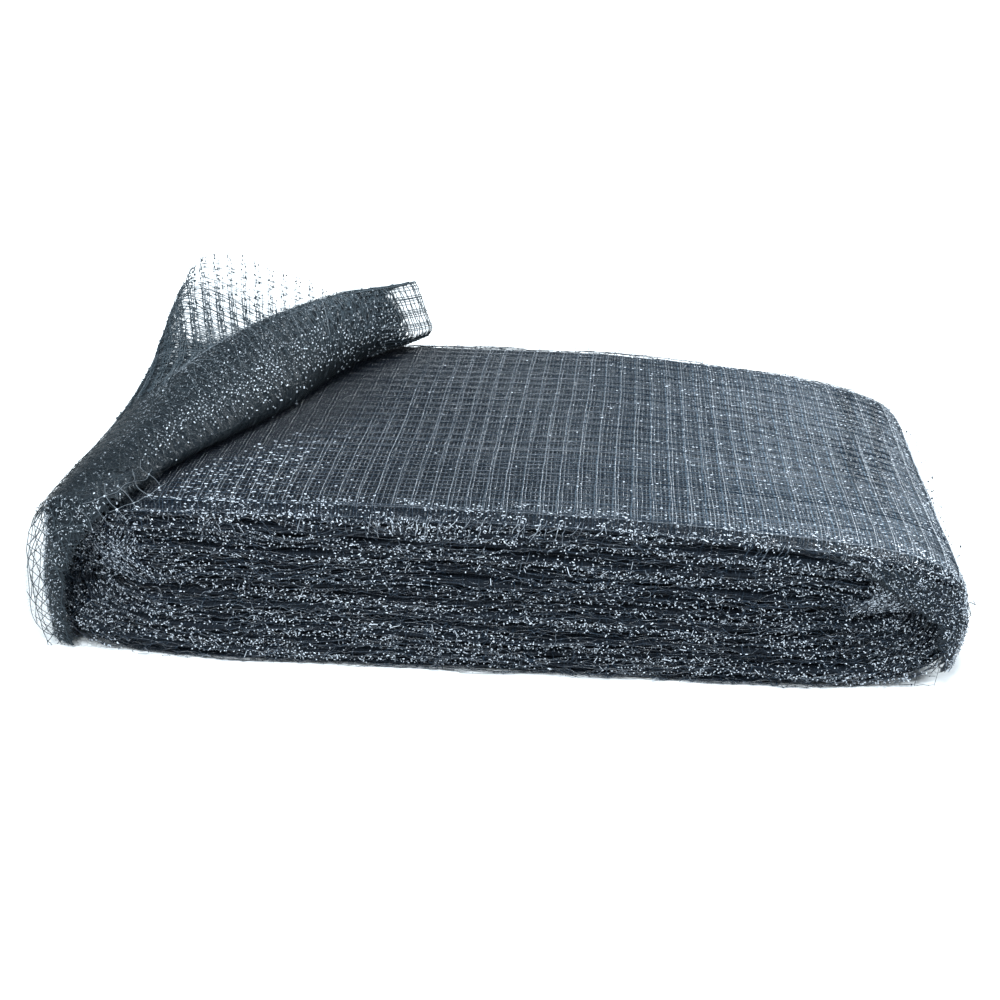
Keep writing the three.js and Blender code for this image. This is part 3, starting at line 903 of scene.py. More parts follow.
def fold_edges(name, side, seed, rows):
    """The folded edges of the turns on one face: threads along each, short ones round it, and its rings."""
    rng = np.random.default_rng(seed)
    threads = Threads()
    share, up = loop_shares(640)
    half_width = 2.9
    over_crown = 0.3 if side < 0 else -2.2
    every = []
    for turn in TURNS:
        inset, reach = turn[0], turn[1]
        wander_out = Wander(rng, length=120, strength=1.2)
        wander_up = Wander(rng, length=95, strength=1.4)
        rings = []
        for d in np.linspace(-half_width, half_width, rows):
            d = d + rng.normal(0, 0.15)
            own_out = Wander(rng, length=75, strength=0.8)
            own_up = Wander(rng, length=60, strength=1.1)
            out = reach - np.minimum(0.45 * d * d, 2.4)
            even, _ = walk(fold_point(share, up, np.clip(inset + d, *INSETS), out, turn, side), FOLD_STEPS)
            key = even[:, 0] + np.where(even[:, 2] > 42, 0, 900)
            crumple = 1 + 2.0 * np.abs(even[:, 0] / 250) ** 8
            even[:, 1] += side * (wander_out(key) + own_out(key) + rng.normal(0, 0.6, FOLD_STEPS) * crumple)
            even[:, 2] += wander_up(key) + own_up(key) * crumple + rng.normal(0, 0.75, FOLD_STEPS) * crumple
            even[:, 0] += rng.normal(0, 0.6, FOLD_STEPS) * crumple
            x = np.clip(even[:, 0], 1 - ROLL["left"], ROLL["right"] - 1)
            crown = top_of_roll(x, side * ROLL["half_depth"])
            even[:, 2] = np.minimum(even[:, 2], crown + over_crown)
            rings.append(even)
            knots = knots_every(rng, FOLD_STEPS, step=2, low=0.4, high=1.3)
            tone = np.clip(rng.uniform(0.02, 0.4) + rng.normal(0, 0.16, FOLD_STEPS), 0, 0.58)
            threads.add(even, thick=rng.uniform(0.65, 1.1), tone=tone, knots=knots, closed=True)
        for k in range(0, FOLD_STEPS, 2):
            if rng.random() < 0.35:
                continue
            at = (k + rng.integers(-1, 2)) % FOLD_STEPS
            lean = rng.normal(0, 2.6)
            line = np.array([ring[at] for ring in rings])
            line[:, 0] += np.linspace(-lean, lean, rows) + rng.normal(0, 0.3, rows)
            line[:, 1] += side * rng.uniform(0.1, 0.9)
            tail = np.array([0, -side * 5.0, 0])
            line = np.concatenate([[line[0] + tail], line, [line[-1] + tail]])
            threads.add(line, thick=rng.uniform(0.7, 1.1), tone=rng.uniform(0.15, 0.66))
        every += rings
    return make_net(name, threads, WOUND_THREAD, seed), every


def fold_painted_glints(name, rings, rows, side, seed, share, strewn):
    """Short twists of thread with painted glints on one face: on its folds, in bands, and strewn between."""
    rng = np.random.default_rng(seed)
    threads = Threads()
    band = Wander(rng, length=1.0, strength=1.0)
    wide = Wander(rng, length=1.0, strength=1.0)
    crest = hump(np.linspace(-2.2, 2.2, rows))
    lowest, near_top = 3, 76

    def likely(x, z):
        return 0.48 * band(x / 150, z / 10) + 0.26 * wide(x / 60, z / 40) + 0.2 * rises(z, 74, 10)

    def add(middle, straight):
        number = len(middle)
        across = np.stack([-straight[:, 2], np.zeros(number), straight[:, 0]], 1)
        lean = rng.normal(0, 0.8, number)
        dull, tall = rng.random(number) < 0.34, rng.random(number) < 0.014
        upright = (middle[:, 2] > near_top) & (rng.random(number) < 0.5)
        lean[tall | upright] += 1.4
        lean = lean[:, None]
        length = np.exp(np.where(dull, rng.normal(0.1, 0.4, number), rng.normal(-0.45, 0.35, number)))
        length[upright] *= 1.7
        length[tall] = rng.uniform(2.5, 5.0, tall.sum())
        thick = of_two_kinds(rng, dull, (0.45, 0.8), (0.85, 1.5))
        thick[tall] *= 0.55
        tone = np.where(dull, rng.uniform(0.6, 0.74, number), 1 - 0.25 * rng.random(number) ** 1.3)
        threads.add_bits(middle, straight * np.cos(lean) + across * np.sin(lean), length, thick, tone)

    for k, ring in enumerate(rings):
        count = len(ring)
        onward = np.roll(ring, -1, 0) - ring
        middle = ring + onward * rng.random((count, 1))
        middle[:, 1] += side * rng.uniform(0.3, 0.9, count)
        chance = share * (0.3 + 1.4 * crest[k % rows]) + likely(middle[:, 0], middle[:, 2])
        chosen = (rng.random(count) < chance) & (middle[:, 2] > lowest)
        add(middle[chosen], unit(onward)[chosen])
    for turn in TURNS:
        number = int(strewn * (1 - turn[0] / ROLL["middle"] * 0.6))
        at, up = rng.uniform(-0.985, 0.985, number), rng.random(number) < 0.5
        depth = rng.uniform(-3.2, 3.2, number)
        out = turn[1] - np.minimum(0.35 * depth * depth, 2.0) + rng.uniform(0.2, 1.8, number)
        inset = np.clip(turn[0] + depth, *INSETS)
        middle = fold_point(at, up, inset, out, turn, side)
        straight = unit(fold_point(np.clip(at + 0.002, -1, 1), up, inset, out, turn, side) - middle)
        middle += rng.normal(0, 0.5, middle.shape)
        chance = 0.6 + 1.2 * likely(middle[:, 0], middle[:, 2])
        chosen = (rng.random(number) < chance) & (middle[:, 2] > lowest)
        add(middle[chosen], straight[chosen])
    return make_net(name, threads, WOUND_THREAD, seed)


def front_curls(seed=65, number=420, points=6):
    """Thin curled threads that stand a little off the front face."""
    rng = np.random.default_rng(seed)
    threads = Threads()
    bend = np.linspace(0, 1, points)
    for _ in range(number):
        turn = TURNS[rng.integers(0, len(TURNS))]
        share = np.full(points, rng.uniform(-0.95, 0.95))
        up = bool(rng.random() < 0.5)
        middle = fold_point(share, up, np.full(points, turn[0]), turn[1] + 1.2, turn, -1)
        start, sweep, size = rng.uniform(0, 6.28), rng.normal(0, 2.2), rng.uniform(1.5, 4.0)
        angle = start + sweep * bend
        middle[:, 0] += size * np.cos(angle)
        middle[:, 2] += 0.7 * size * np.sin(angle)
        middle[:, 1] -= rng.uniform(-0.6, 0.8, points)
        thick = rng.uniform(0.5, 0.8)
        threads.add(middle, thick, np.clip(rng.uniform(0.45, 0.7) + rng.normal(0, 0.07, points), 0, 1))
    return make_net("front_curls", threads, WOUND_THREAD, seed)


def end_tangle(name, side_x, seed, number, points=9, strewn=520):
    """Slack threads that cross the front of one end at a slant and hide its turns, with twists among them
    that carry painted glints.
    """
    rng = np.random.default_rng(seed)
    threads = Threads()
    t = np.linspace(0, 1, points)
    for _ in range(number):
        x = rng.uniform(196, 232) + rng.uniform(6, 30) * t
        inset = rng.uniform(0, 22) + rng.uniform(8, 34) * t + rng.normal(0, 0.6, points)
        inset = np.clip(inset, INSETS[0], 42)
        limit = rng.uniform(0.88, 0.995)
        share = np.clip(side_x * x / (half_length(side_x) - inset * ROLL["end_draw"]), -limit, limit)
        out = 3.4 + rng.normal(0, 0.5, points) + 1.4 * np.sin(math.pi * t)
        line = fold_point(share, True, inset, out, MIDDLE_TURN, -1)
        knots = knots_every(rng, points, step=2, low=0.4, high=1.2)
        thick = rng.uniform(0.7, 1.1)
        tone = np.clip(rng.uniform(0.1, 0.6) + rng.normal(0, 0.08, points), 0, 0.62)
        threads.add(line, thick, tone, knots)
        picked = rng.random(points - 1) < 0.85
        spots = line[:-1][picked] + [0, -0.6, 0]
        count = len(spots)
        threads.add_bits(spots, np.diff(line, axis=0)[picked], rng.uniform(0.5, 1.5, count),
                         rng.uniform(0.7, 1.2, count), painted_glint_tones(rng, count, low=0.64, power=1.2))
    share = side_x * (0.9995 - 0.16 * rng.random(strewn) ** 2.4)
    up = rng.random(strewn) < 0.5
    spots = fold_point(share, up, rng.uniform(2, 38, strewn), rng.uniform(4.0, 6.5, strewn), MIDDLE_TURN, -1)
    spots[:, 2] = np.maximum(spots[:, 2], 3)
    threads.add_bits(spots, rng.normal(0, 1, (strewn, 3)), np.exp(rng.normal(-0.3, 0.4, strewn)),
                     rng.uniform(0.6, 1.2, strewn), painted_glint_tones(rng, strewn, low=0.62, power=1.2))
    return make_net(name, threads, WOUND_THREAD, seed)


def edge_ticks(seed=51, points=6):
    """Threads across the net where it rolls over the front edge of the top, palest along its middle, where
    their tones run into a painted glint.
    """
    rng = np.random.default_rng(seed)
    threads = Threads()
    t = np.linspace(0, 1, points)
    for x in np.arange(-222, 226, 9.9):
        bridged = -65 < x < 60
        few, many, slant, tones = (2, 5, -2.5, (0.62, 0.8)) if bridged else (0, 4, 0.0, (0.5, 0.7))
        for _ in range(rng.integers(few, many)):
            here = x + rng.normal(0, 2.6)
            down = rng.uniform(3, 11) * t
            share = np.full(points, here / half_length(here))
            line = fold_point(share, True, 0.2 + down, 3.6 - 0.04 * (down - 5) ** 2, OUTER_TURN, -1)
            line[0, 1] += 6.0
            line[:, 0] += np.linspace(0, rng.normal(slant, 2.5), points) + rng.normal(0, 0.3, points)
            line[1:, 1] -= rng.uniform(0.0, 0.7)
            tone = rng.uniform(*tones)
            threads.add(line, rng.uniform(0.6, 0.9), np.clip(tone + rng.normal(0, 0.05, points), 0, 1))
    return make_net("edge_ticks", threads, WOUND_THREAD, seed)


def brim_painted_glints(wrap, seed=59, number=11000):
    """Twists of thread with painted glints along the front edge of the top, where the net rolls over to the
    face.
    """
    rng = np.random.default_rng(seed)
    threads = Threads()
    band = Wander(rng, length=40, strength=0.5)
    run, share = rng.uniform(0, wrap.length, number), -1 + 0.13 * rng.random(number) ** 1.4
    lift = rng.uniform(0.7, 1.5, number)
    middle = wrap.at(run, share, lift)
    lean = rng.normal(0, 0.7, number)
    along = wrap.at(run + np.cos(lean), share + np.sin(lean) / 142, lift) - middle
    chosen = (rng.random(number) < 0.4 + 0.5 * band(run, 200 * share)) & (middle[:, 2] > 46)
    chosen &= painted_hood_shadow(middle[:, 0], middle[:, 1]) > 0.3
    count = int(chosen.sum())
    dull = rng.random(count) < 0.5
    length = np.exp(rng.normal(-0.2, 0.4, count))
    threads.add_bits(middle[chosen], along[chosen], length, of_two_kinds(rng, dull, (0.45, 0.8), (0.8, 1.3)),
                     of_two_kinds(rng, dull, (0.6, 0.72), (0.74, 1.0)))
    return make_net("brim_painted_glints", threads, WOUND_THREAD, seed)


def right_hem(seed=55):
    """A strip of single net left showing between the roll's underside and the floor at the right."""
    rng = np.random.default_rng(seed)
    threads = Threads()
    start, end, thick, tone = 188, 238, 0.6, 0.3

    def depth(x):
        return -150 + 0.05 * (x - start)

    for level in (1.2, 5.0, 9.5):
        x = np.arange(start, end, 3.0)
        z = level + 0.03 * (x - start) * level / 3 + rng.normal(0, 0.2, len(x))
        knots = knots_every(rng, len(x), step=3, low=0.9, high=1.4)
        threads.add(np.stack([x, depth(x) + rng.normal(0, 0.2, len(x)), z], 1), thick, tone, knots)
    for x in np.arange(start + 2, end, 9.0):
        z = np.linspace(1.2, 13 + 0.1 * (x - start - 2), 5)
        across = x + rng.normal(0, 0.8) + 0.12 * z
        threads.add(np.stack([across, np.full(len(z), depth(x)), z], 1), thick, tone)
    return make_net("right_hem", threads, WOUND_THREAD, seed, radius=0.26)


def right_veil(seed=57):
    """A few stray meshes of single net that stand off the right end, threads fine and knots plain."""
    rng = np.random.default_rng(seed)
    threads = Threads()
    for k, (out, level) in enumerate(((1.0, 66.0), (4.5, 58.0), (1.5, 50.0))):
        y = np.arange(-106.0 + 9 * k, 70.0, 6.0)
        x = ROLL["right"] - 4 + out + 1.5 * np.sin(y / 30 + k) + rng.normal(0, 1.2, len(y))
        knots = np.where(rng.random(len(y)) < 0.35, rng.uniform(0.7, 1.7, len(y)), 0)
        z = level + 3 * np.sin(y / 41 + k) + rng.normal(0, 1.2, len(y))
        threads.add(np.stack([x, y, z], 1), thick=0.2, tone=0.3, knots=knots)
    return make_net("right_veil", threads, WOUND_THREAD, seed)


# The lifted net

# Threads of the stray net at the left: the points each passes, and which of those are knots.
PATCH_LINES = [
    ([(-221, -152.3, 90.5), (-216, -152.3, 91.9), (-211.6, -144.7, 92.1), (-207, -137.8, 91.8),
      (-205, -130, 93.1), (-202.2, -123, 92), (-197.4, -119, 91.6), (-197.2, -113.4, 92.6),
      (-196.4, -110, 94.6)], (2, 5, 7)),
    ([(-207, -152.5, 86.2), (-202.5, -152.2, 87.9), (-199.9, -147.6, 88.2), (-196.2, -143.3, 88.1),
      (-193.3, -137.9, 88.5), (-191.3, -132.7, 88.3), (-188.6, -123.3, 88.9), (-186.4, -118.2, 89.6)],
     (1, 3, 5, 6)),
    ([(-203.6, -107, 98.4), (-201.2, -113.5, 96), (-197.2, -113.4, 92.6), (-191.7, -119, 92.1),
      (-187.7, -121.8, 88.9)], ()),
    ([(-205.5, -116, 96.4), (-202.1, -122.8, 93.7), (-201.8, -123.2, 91.4), (-196.9, -130.8, 90.8),
      (-191.5, -132.3, 87.9), (-189.1, -133.8, 86.4)], ()),
    ([(-208.2, -132.9, 93.2), (-204, -133.9, 89.8), (-199.7, -138.6, 88.5), (-195.9, -144.3, 88.1),
      (-193.6, -146.3, 85.6)], (0, 4)),
    ([(-214.9, -133.8, 94.8), (-210.8, -144.4, 92), (-207, -148.1, 89.3), (-202.1, -152.1, 87.8),
      (-198.8, -152.3, 83.1)], ()),
    ([(-214.4, -152.4, 91.8), (-213.4, -152.4, 88.4), (-211.2, -152.4, 83.6), (-208.8, -152.4, 80.3),
      (-205.5, -152.5, 76)], (1,)),
    ([(-225.5, -152.2, 88.4), (-221.2, -152.4, 85.2), (-218.8, -152.3, 81.8), (-217.3, -152.3, 75.4)], (3,)),
]


def corner_patch(seed=53, steps=4):
    """A stray piece of single net from the hood's foot over the front edge on the left, its knots pale with a
    painted glint.
    """
    threads = Threads()
    for points, marked in PATCH_LINES:
        line = smooth_line(np.array(points, float), steps)
        bead = np.zeros(len(line))
        bead[[steps * k for k in marked]] = 1.25
        threads.add(line, thick=0.62, tone=np.where(bead > 0, 0.9, 0.665), knots=bead)
    return make_net("corner_patch", threads, LOOSE_THREAD, seed, radius=0.24, knot=0.55)


def lifted_sheet(loose, rows=90, steps=150):
    """The body of the loose end, one thin sheet on its folds."""
    depths = np.linspace(FRONT_EDGE, BACK_EDGE, rows)
    y = np.repeat(depths[:, None], steps, 1)
    run = np.linspace(loose.mark(depths, "tuck"), loose.limit(depths) - 1, steps, axis=1)
    piece = make_surface("lifted_sheet", loose.at(y, run, 0.0), LIFTED_NET, run / MESH, y / MESH)
    give_values(piece.data, "close", loose.closeness(y, run))
    # Painted shade of the sheet, darkened further at the front and with painted light towards the back.
    give_values(piece.data, "shade", loose.shade(y, run) * (0.3 + 1.3 * rises(y, 20, 70)))
    return piece


def hood_layer(name, loose, seed, stand, offset, skew, thick=0.6):
    """One close layer of the lifted net over the hood."""
    rng = np.random.default_rng(seed)
    threads = Threads()
    step, least = 5.0, 0.35
    wander_run = Wander(rng, length=75, strength=0.9)
    wander_y = Wander(rng, length=80, strength=1.3)
    y = np.arange(FRONT_EDGE + 1, BACK_EDGE, step)
    first = offset[0] - skew * (BACK_EDGE - FRONT_EDGE)
    for base in np.arange(first, loose.limit(BACK_EDGE) - HEM, MESH):
        run = base + skew * (BACK_EDGE - y) + wander_run(y, base) + rng.normal(0, 0.3, len(y))
        keep = (run < loose.limit(y) - 7) & (run > -3) & (loose.closeness(y, run) > least)
        line = loose.at(y, np.clip(run, -3, None), stand + rng.normal(0, 0.15, len(y)))
        knots = knots_every(rng, len(y), step=2, low=0.6, high=1.3)
        # The sheet's painted shade darkens these threads too.
        tone = rng.uniform(0.26, 0.68) * loose.shade(y, run) ** 1.2
        threads.add_where(keep, line, thick * rng.uniform(0.85, 1.2), tone, knots)
    run = np.arange(-4, 320.0, step)
    for base in np.arange(FRONT_EDGE - 160 + offset[1], BACK_EDGE + 160, MESH):
        y = base - skew * (run - 120) + wander_y(run, base) + rng.normal(0, 0.3, len(run))
        inside = np.clip(y, FRONT_EDGE, BACK_EDGE)
        keep = (y == inside) & (run < loose.limit(inside) - 8) & (loose.closeness(inside, run) > least)
        line = loose.at(y, run, stand + rng.normal(0, 0.15, len(run)))
        own_thick = thick * rng.uniform(0.8, 1.1)
        # The sheet's painted shade darkens these threads too.
        threads.add_where(keep, line, own_thick, rng.uniform(0.26, 0.66) * loose.shade(inside, run) ** 1.2)
    return make_net(name, threads, LOOSE_THREAD, seed)


def hood_painted_glints(loose, seed=37, strewn=24000):
    """Twists of thread with painted glints, thickest along the middle of the hood's face, and dull ones."""
    rng = np.random.default_rng(seed)
    threads = Threads()
    patch = Wander(rng, length=45, strength=0.5)
    chains, places = np.meshgrid(np.arange(-60, 280, 2.2), np.arange(FRONT_EDGE + 2, BACK_EDGE - 14, 3.0))
    y = (places + rng.normal(0, 0.6, places.shape)).ravel()
    run = (chains + 0.0011 * (places + 100) ** 2 + rng.normal(0, 0.4, places.shape)).ravel()
    dull = np.repeat([False, True], [len(y), strewn])
    y = np.concatenate([y, rng.uniform(FRONT_EDGE + 2, BACK_EDGE - 12, strewn)])
    run = np.concatenate([run, rng.uniform(0, 280, strewn)])
    t = loose.face_share(y, run)
    middle_line = 0.4 + 0.2 * rises(y, -80, 90)
    band = hump((t - middle_line) / 0.26) * (0.85 + 0.7 * patch(y, run))
    band = band * (0.45 + 0.55 * rises(y, -125, 60))
    face = loose.mark(y, "foot") - loose.mark(y, "crest")
    chance = np.where(dull, 0.6 * falls(t, 0.9, 0.4), band + 0.02) * np.minimum(face / 60, 1)
    chosen = (rng.random(len(y)) < chance) & (t > -0.6) & (t < 1) & (run > 6)
    chosen &= loose.closeness(y, run) > 0.7
    y, run, dull = y[chosen], run[chosen], dull[chosen]
    number = len(y)
    lift = rng.uniform(1.1, 1.6, number)
    middle = loose.at(y, run, lift)
    lean = rng.normal(0.0, 0.7, number)
    along = loose.at(y + np.cos(lean), run + np.sin(lean), lift) - middle
    length = np.exp(np.where(dull, rng.normal(-0.1, 0.3, number), rng.normal(-0.2, 0.35, number)))
    thick = of_two_kinds(rng, dull, (0.5, 0.95), (0.85, 1.9))
    tone = np.where(dull, rng.uniform(0.6, 0.74, number), 1 - 0.32 * rng.random(number))
    threads.add_bits(middle, along, length, thick, tone)
    return make_net("hood_painted_glints", threads, LOOSE_THREAD, seed)


def open_net(name, loose, seed, stand, offset, thick, reach):
    """One clear layer of the lifted net: the wall behind the hood, as far as it reaches, and the tube end."""
    rng = np.random.default_rng(seed)
    threads = Threads()
    wander = Wander(rng, length=75, strength=0.8)
    on_tube = reach > 115
    y = np.concatenate([np.arange(-6, BACK_EDGE, 4.0), [BACK_EDGE]])
    dip, crest, foot = [loose.mark(y, mark) for mark in ("dip", "crest", "foot")]
    # Threads from front to back on the wall, with stubs past its back edge.
    thin = thick * (1 - 0.65 * rises(y, 100, 30))
    for base in np.arange(offset[0] - 10, 190.0, MESH):
        run = base + wander(y, 0.0) + rng.normal(0, 0.25, len(y))
        knots = knots_every(rng, len(y), step=2, low=1.1, high=2.2, first=seed)
        line = loose.at(y, run, stand + rng.normal(0, 0.3, len(y)))
        keep = (run > np.where(y > 50, 5, -9)) & (run < dip + 6) & (y < reach)
        threads.add_where(keep, line, thick=0.92 * thin, tone=rng.uniform(0.5, 0.645), knots=knots)
        if run[-1] < dip[-1] + 4 and reach > BACK_EDGE:
            past = BACK_EDGE + rng.uniform(0.5, 1.0) * np.array([0.0, 3.5, 7.0])
            stub = loose.at(past, np.full(3, run[-1]), stand) + rng.normal(0, 0.5, (3, 3))
            beads = [0, rng.uniform(0.9, 1.9), rng.uniform(0.7, 1.6)]
            threads.add(stub, thick=0.3 * thick, tone=0.2, knots=beads)
    # Threads from front to back on the tube.
    for base in np.arange(-90 + offset[0], 90, MESH):
        run = crest + base + wander(y, base) * 0.5
        line = loose.at(y, run, stand + rng.normal(0, 0.2, len(y)))
        knots = knots_every(rng, len(y), step=2, low=0.7, high=1.2, first=seed)
        keep = (y > 96) & (run > dip + 3) & (run < foot + 4) & on_tube
        threads.add_where(keep, line, thick, tone=rng.uniform(0.5, 0.65), knots=knots)
    # Threads across both, with thicker crossings on the wall.
    run = np.arange(3, 300.0, 4.0)
    for depth in np.arange(-2 + offset[1], BACK_EDGE - 1 if on_tube else reach, MESH):
        here = depth + wander(run, depth + 300) + rng.normal(0, 0.25, len(run))
        here = np.minimum(here, BACK_EDGE)
        line = loose.at(here, run, stand + rng.normal(0, 0.3, len(run)))
        keep = (loose.closeness(here, run) < 0.75) & (run < loose.mark(here, "foot") + 4)
        keep &= (depth < reach) | (run > loose.mark(here, "dip"))
        end_of_wall = float(loose.mark(depth, "dip"))
        on_wall = falls(run, end_of_wall, 12)
        thin = thick * (1.15 - on_wall * (0.4 + 0.4 * rises(depth, 100, 30)))
        threads.add_where(keep, line, thick=0.92 * thin, tone=rng.uniform(0.5, 0.645))
        across = np.arange(offset[0] + 10, end_of_wall + 4, MESH) + rng.normal(0, 0.6)
        count = len(across)
        if 20 < depth < reach and count:
            deep = depth + rng.normal(0, 0.5, count)
            spot = loose.at(deep, across, stand)
            weight = rng.uniform(0.9, 1.5, count) * (1 - 0.1 * rises(depth, 105, 30))
            for step_back, step_on, length in ((0, 1, 3.2), (1, 0, 2.4)):
                along = loose.at(deep + step_back, across + step_on, stand) - spot
                middle = spot + rng.normal(0, 0.3, (count, 3))
                threads.add_bits(middle, along, length * rng.uniform(0.6, 1.2, count), weight,
                                 rng.uniform(0.35, 0.62, count))
    return make_net(name, threads, LOOSE_THREAD, seed)


def tube_rim(loose, seed=39):
    """The straight cut edge round the end of the hood's tube."""
    rng = np.random.default_rng(seed)
    threads = Threads()
    for k in range(3):
        depth = BACK_EDGE - 0.4 - 1.2 * k
        run = np.arange(float(loose.mark(depth, "dip")) + 6, float(loose.mark(depth, "foot")) + 3, 3.0)
        line = loose.at(np.full(len(run), depth), run, 0.4 + rng.normal(0, 0.25, len(run)))
        threads.add(line, thick=1.3 - 0.2 * k, tone=rng.uniform(0.1, 0.4))
    return make_net("tube_rim", threads, LOOSE_THREAD, seed, radius=0.3)


# Outline of the veil's front flap: height, x.
FLAP_OUTLINE = np.array([(1, -252.5), (10, -254.5), (22, -256.0), (46, -257.0), (62, -257.0), (72, -254.5),
                         (80, -250.0), (86, -245.0)])
FLAP_LOW, FLAP_HIGH = FLAP_OUTLINE[0, 0], FLAP_OUTLINE[-1, 0]


def left_veil(loose, seed=41):
    """The single loose layer round the left end, pulled so that its meshes stand as diamonds."""
    rng = np.random.default_rng(seed)
    threads = Threads()
    low, high, inner = -104.0, 14.0, -242
    t = np.arange(0, high - low + 1, 4.0)
    wander_y = Wander(rng, length=60, strength=1.3)
    wander_out = Wander(rng, length=50, strength=0.9)

    def flap_depth(x):
        return -147 + 0.2 * (x - inner)

    def add_plain(keep, line, step):
        knots = knots_every(rng, len(line), step=step, low=0.5, high=1.0)
        thick = rng.uniform(0.75, 1.0)
        threads.add_where(keep, line, thick, rng.uniform(0.1, 0.5), knots)

    for direction in (1, -1):
        for start in np.arange(FRONT_EDGE - 80, BACK_EDGE + 80, 8.5):
            y = start + direction * t * 0.55 + wander_y(t, start)
            keep = (y >= FRONT_EDGE) & (y <= BACK_EDGE) & (low + t < np.where(y > 10, -24, 20))
            lift = -1.0 + wander_out(t, start) + rng.normal(0, 0.2, len(t))
            add_plain(keep, loose.at(y, low + t, lift), 2)
    for depth in (FRONT_EDGE, BACK_EDGE):
        line = loose.at(np.full(len(t), depth), low + t, -1.0 + wander_out(t, depth))
        threads.add(line, thick=0.8, tone=0.3, knots=rng.uniform(0.2, 0.9, len(t)))
    # The front flap, and its edge.
    x = np.linspace(inner, -261, 27)
    for direction in (1, -1):
        for start in np.arange(-24, 110, 8.0):
            z = start + direction * (x - inner) * 1.15 + wander_out(x * 2, start) + rng.normal(0, 0.1, len(x))
            keep = (z > FLAP_LOW) & (z < FLAP_HIGH) & (x > np.interp(z, *FLAP_OUTLINE.T) - 0.2)
            add_plain(keep, np.stack([x, flap_depth(x) + rng.normal(0, 0.15, len(x)), z], 1), 7)
    z = np.linspace(FLAP_LOW, FLAP_HIGH, 24)
    x = np.interp(z, *FLAP_OUTLINE.T) + rng.normal(0, 0.3, len(z))
    edge = np.stack([x, flap_depth(x), z], 1)
    threads.add(edge, thick=0.9, tone=0.3, knots=rng.uniform(0.3, 1.0, len(z)))
    return make_net("left_veil", threads, LOOSE_THREAD, seed, radius=0.26, knot=0.46)


# The close net that hangs round the two ends: its line seen from above, its upper line by distance along it,
# the edge where it starts by share of its height, and its lowest height; then its layers of thread, the
# painted shade that its sheet keeps, its twists with painted glints, and how much these gather at the front.
LEFT_DRAPE = dict(
    plan=np.array([(-198, -150.5), (-205, -150.5), (-215, -150.5), (-225, -150.0), (-234, -149.5),
                   (-242, -148.0), (-248, -144.5), (-252, -138.0), (-254.5, -128.0), (-256, -112.0),
                   (-256.5, -60.0), (-256.5, 0.0), (-256.5, 60.0), (-256, 112.0), (-254, 130.0),
                   (-249, 142.0), (-241, 148.0)]),
    top=np.array([(0, 89.5), (7, 90.5), (27, 91.5), (37, 91.5), (45, 88.5), (53, 83.5), (61, 79.0),
                  (107, 79.5), (167, 80.0), (227, 74.0), (287, 70.0), (347, 70.0)]),
    crease=np.array([(0.0, 37.0), (0.25, 40.0), (0.5, 37.0), (0.7, 28.0), (0.84, 17.0), (1.0, 6.0)]),
    low=1.6, layers=3, kept=0.36, number=8000, gather=1.7)
RIGHT_LIP = dict(
    plan=np.array([(170, -149.5), (200, -149.5), (220, -149.5), (232, -149.0), (240, -147.0), (246, -143.0),
                   (249, -137.0), (250.5, -128.0), (251, -110.0), (251, -60.0), (251, 0.0), (250.5, 60.0),
                   (250, 110.0), (248, 130.0), (243, 141.0)]),
    top=np.array([(0, 75.5), (30, 70.5), (50, 65.0), (62, 60.0), (72, 56.0), (84, 52.0), (130, 54.0),
                  (180, 44.0), (225, 48.0), (280, 36.0), (330, 40.0), (380, 30.0)]),
    crease=np.array([(0.0, 66.0), (0.2, 64.0), (0.55, 62.0), (0.69, 48.0), (0.85, 30.0), (0.96, 14.0),
                     (1.0, 5.0)]),
    low=6.0, layers=2, kept=0.14, number=11500, gather=2.4)
# Distance between the points of a hanging net, and its rows.
DRAPE_STEP = 3.0
DRAPE_ROWS = 30


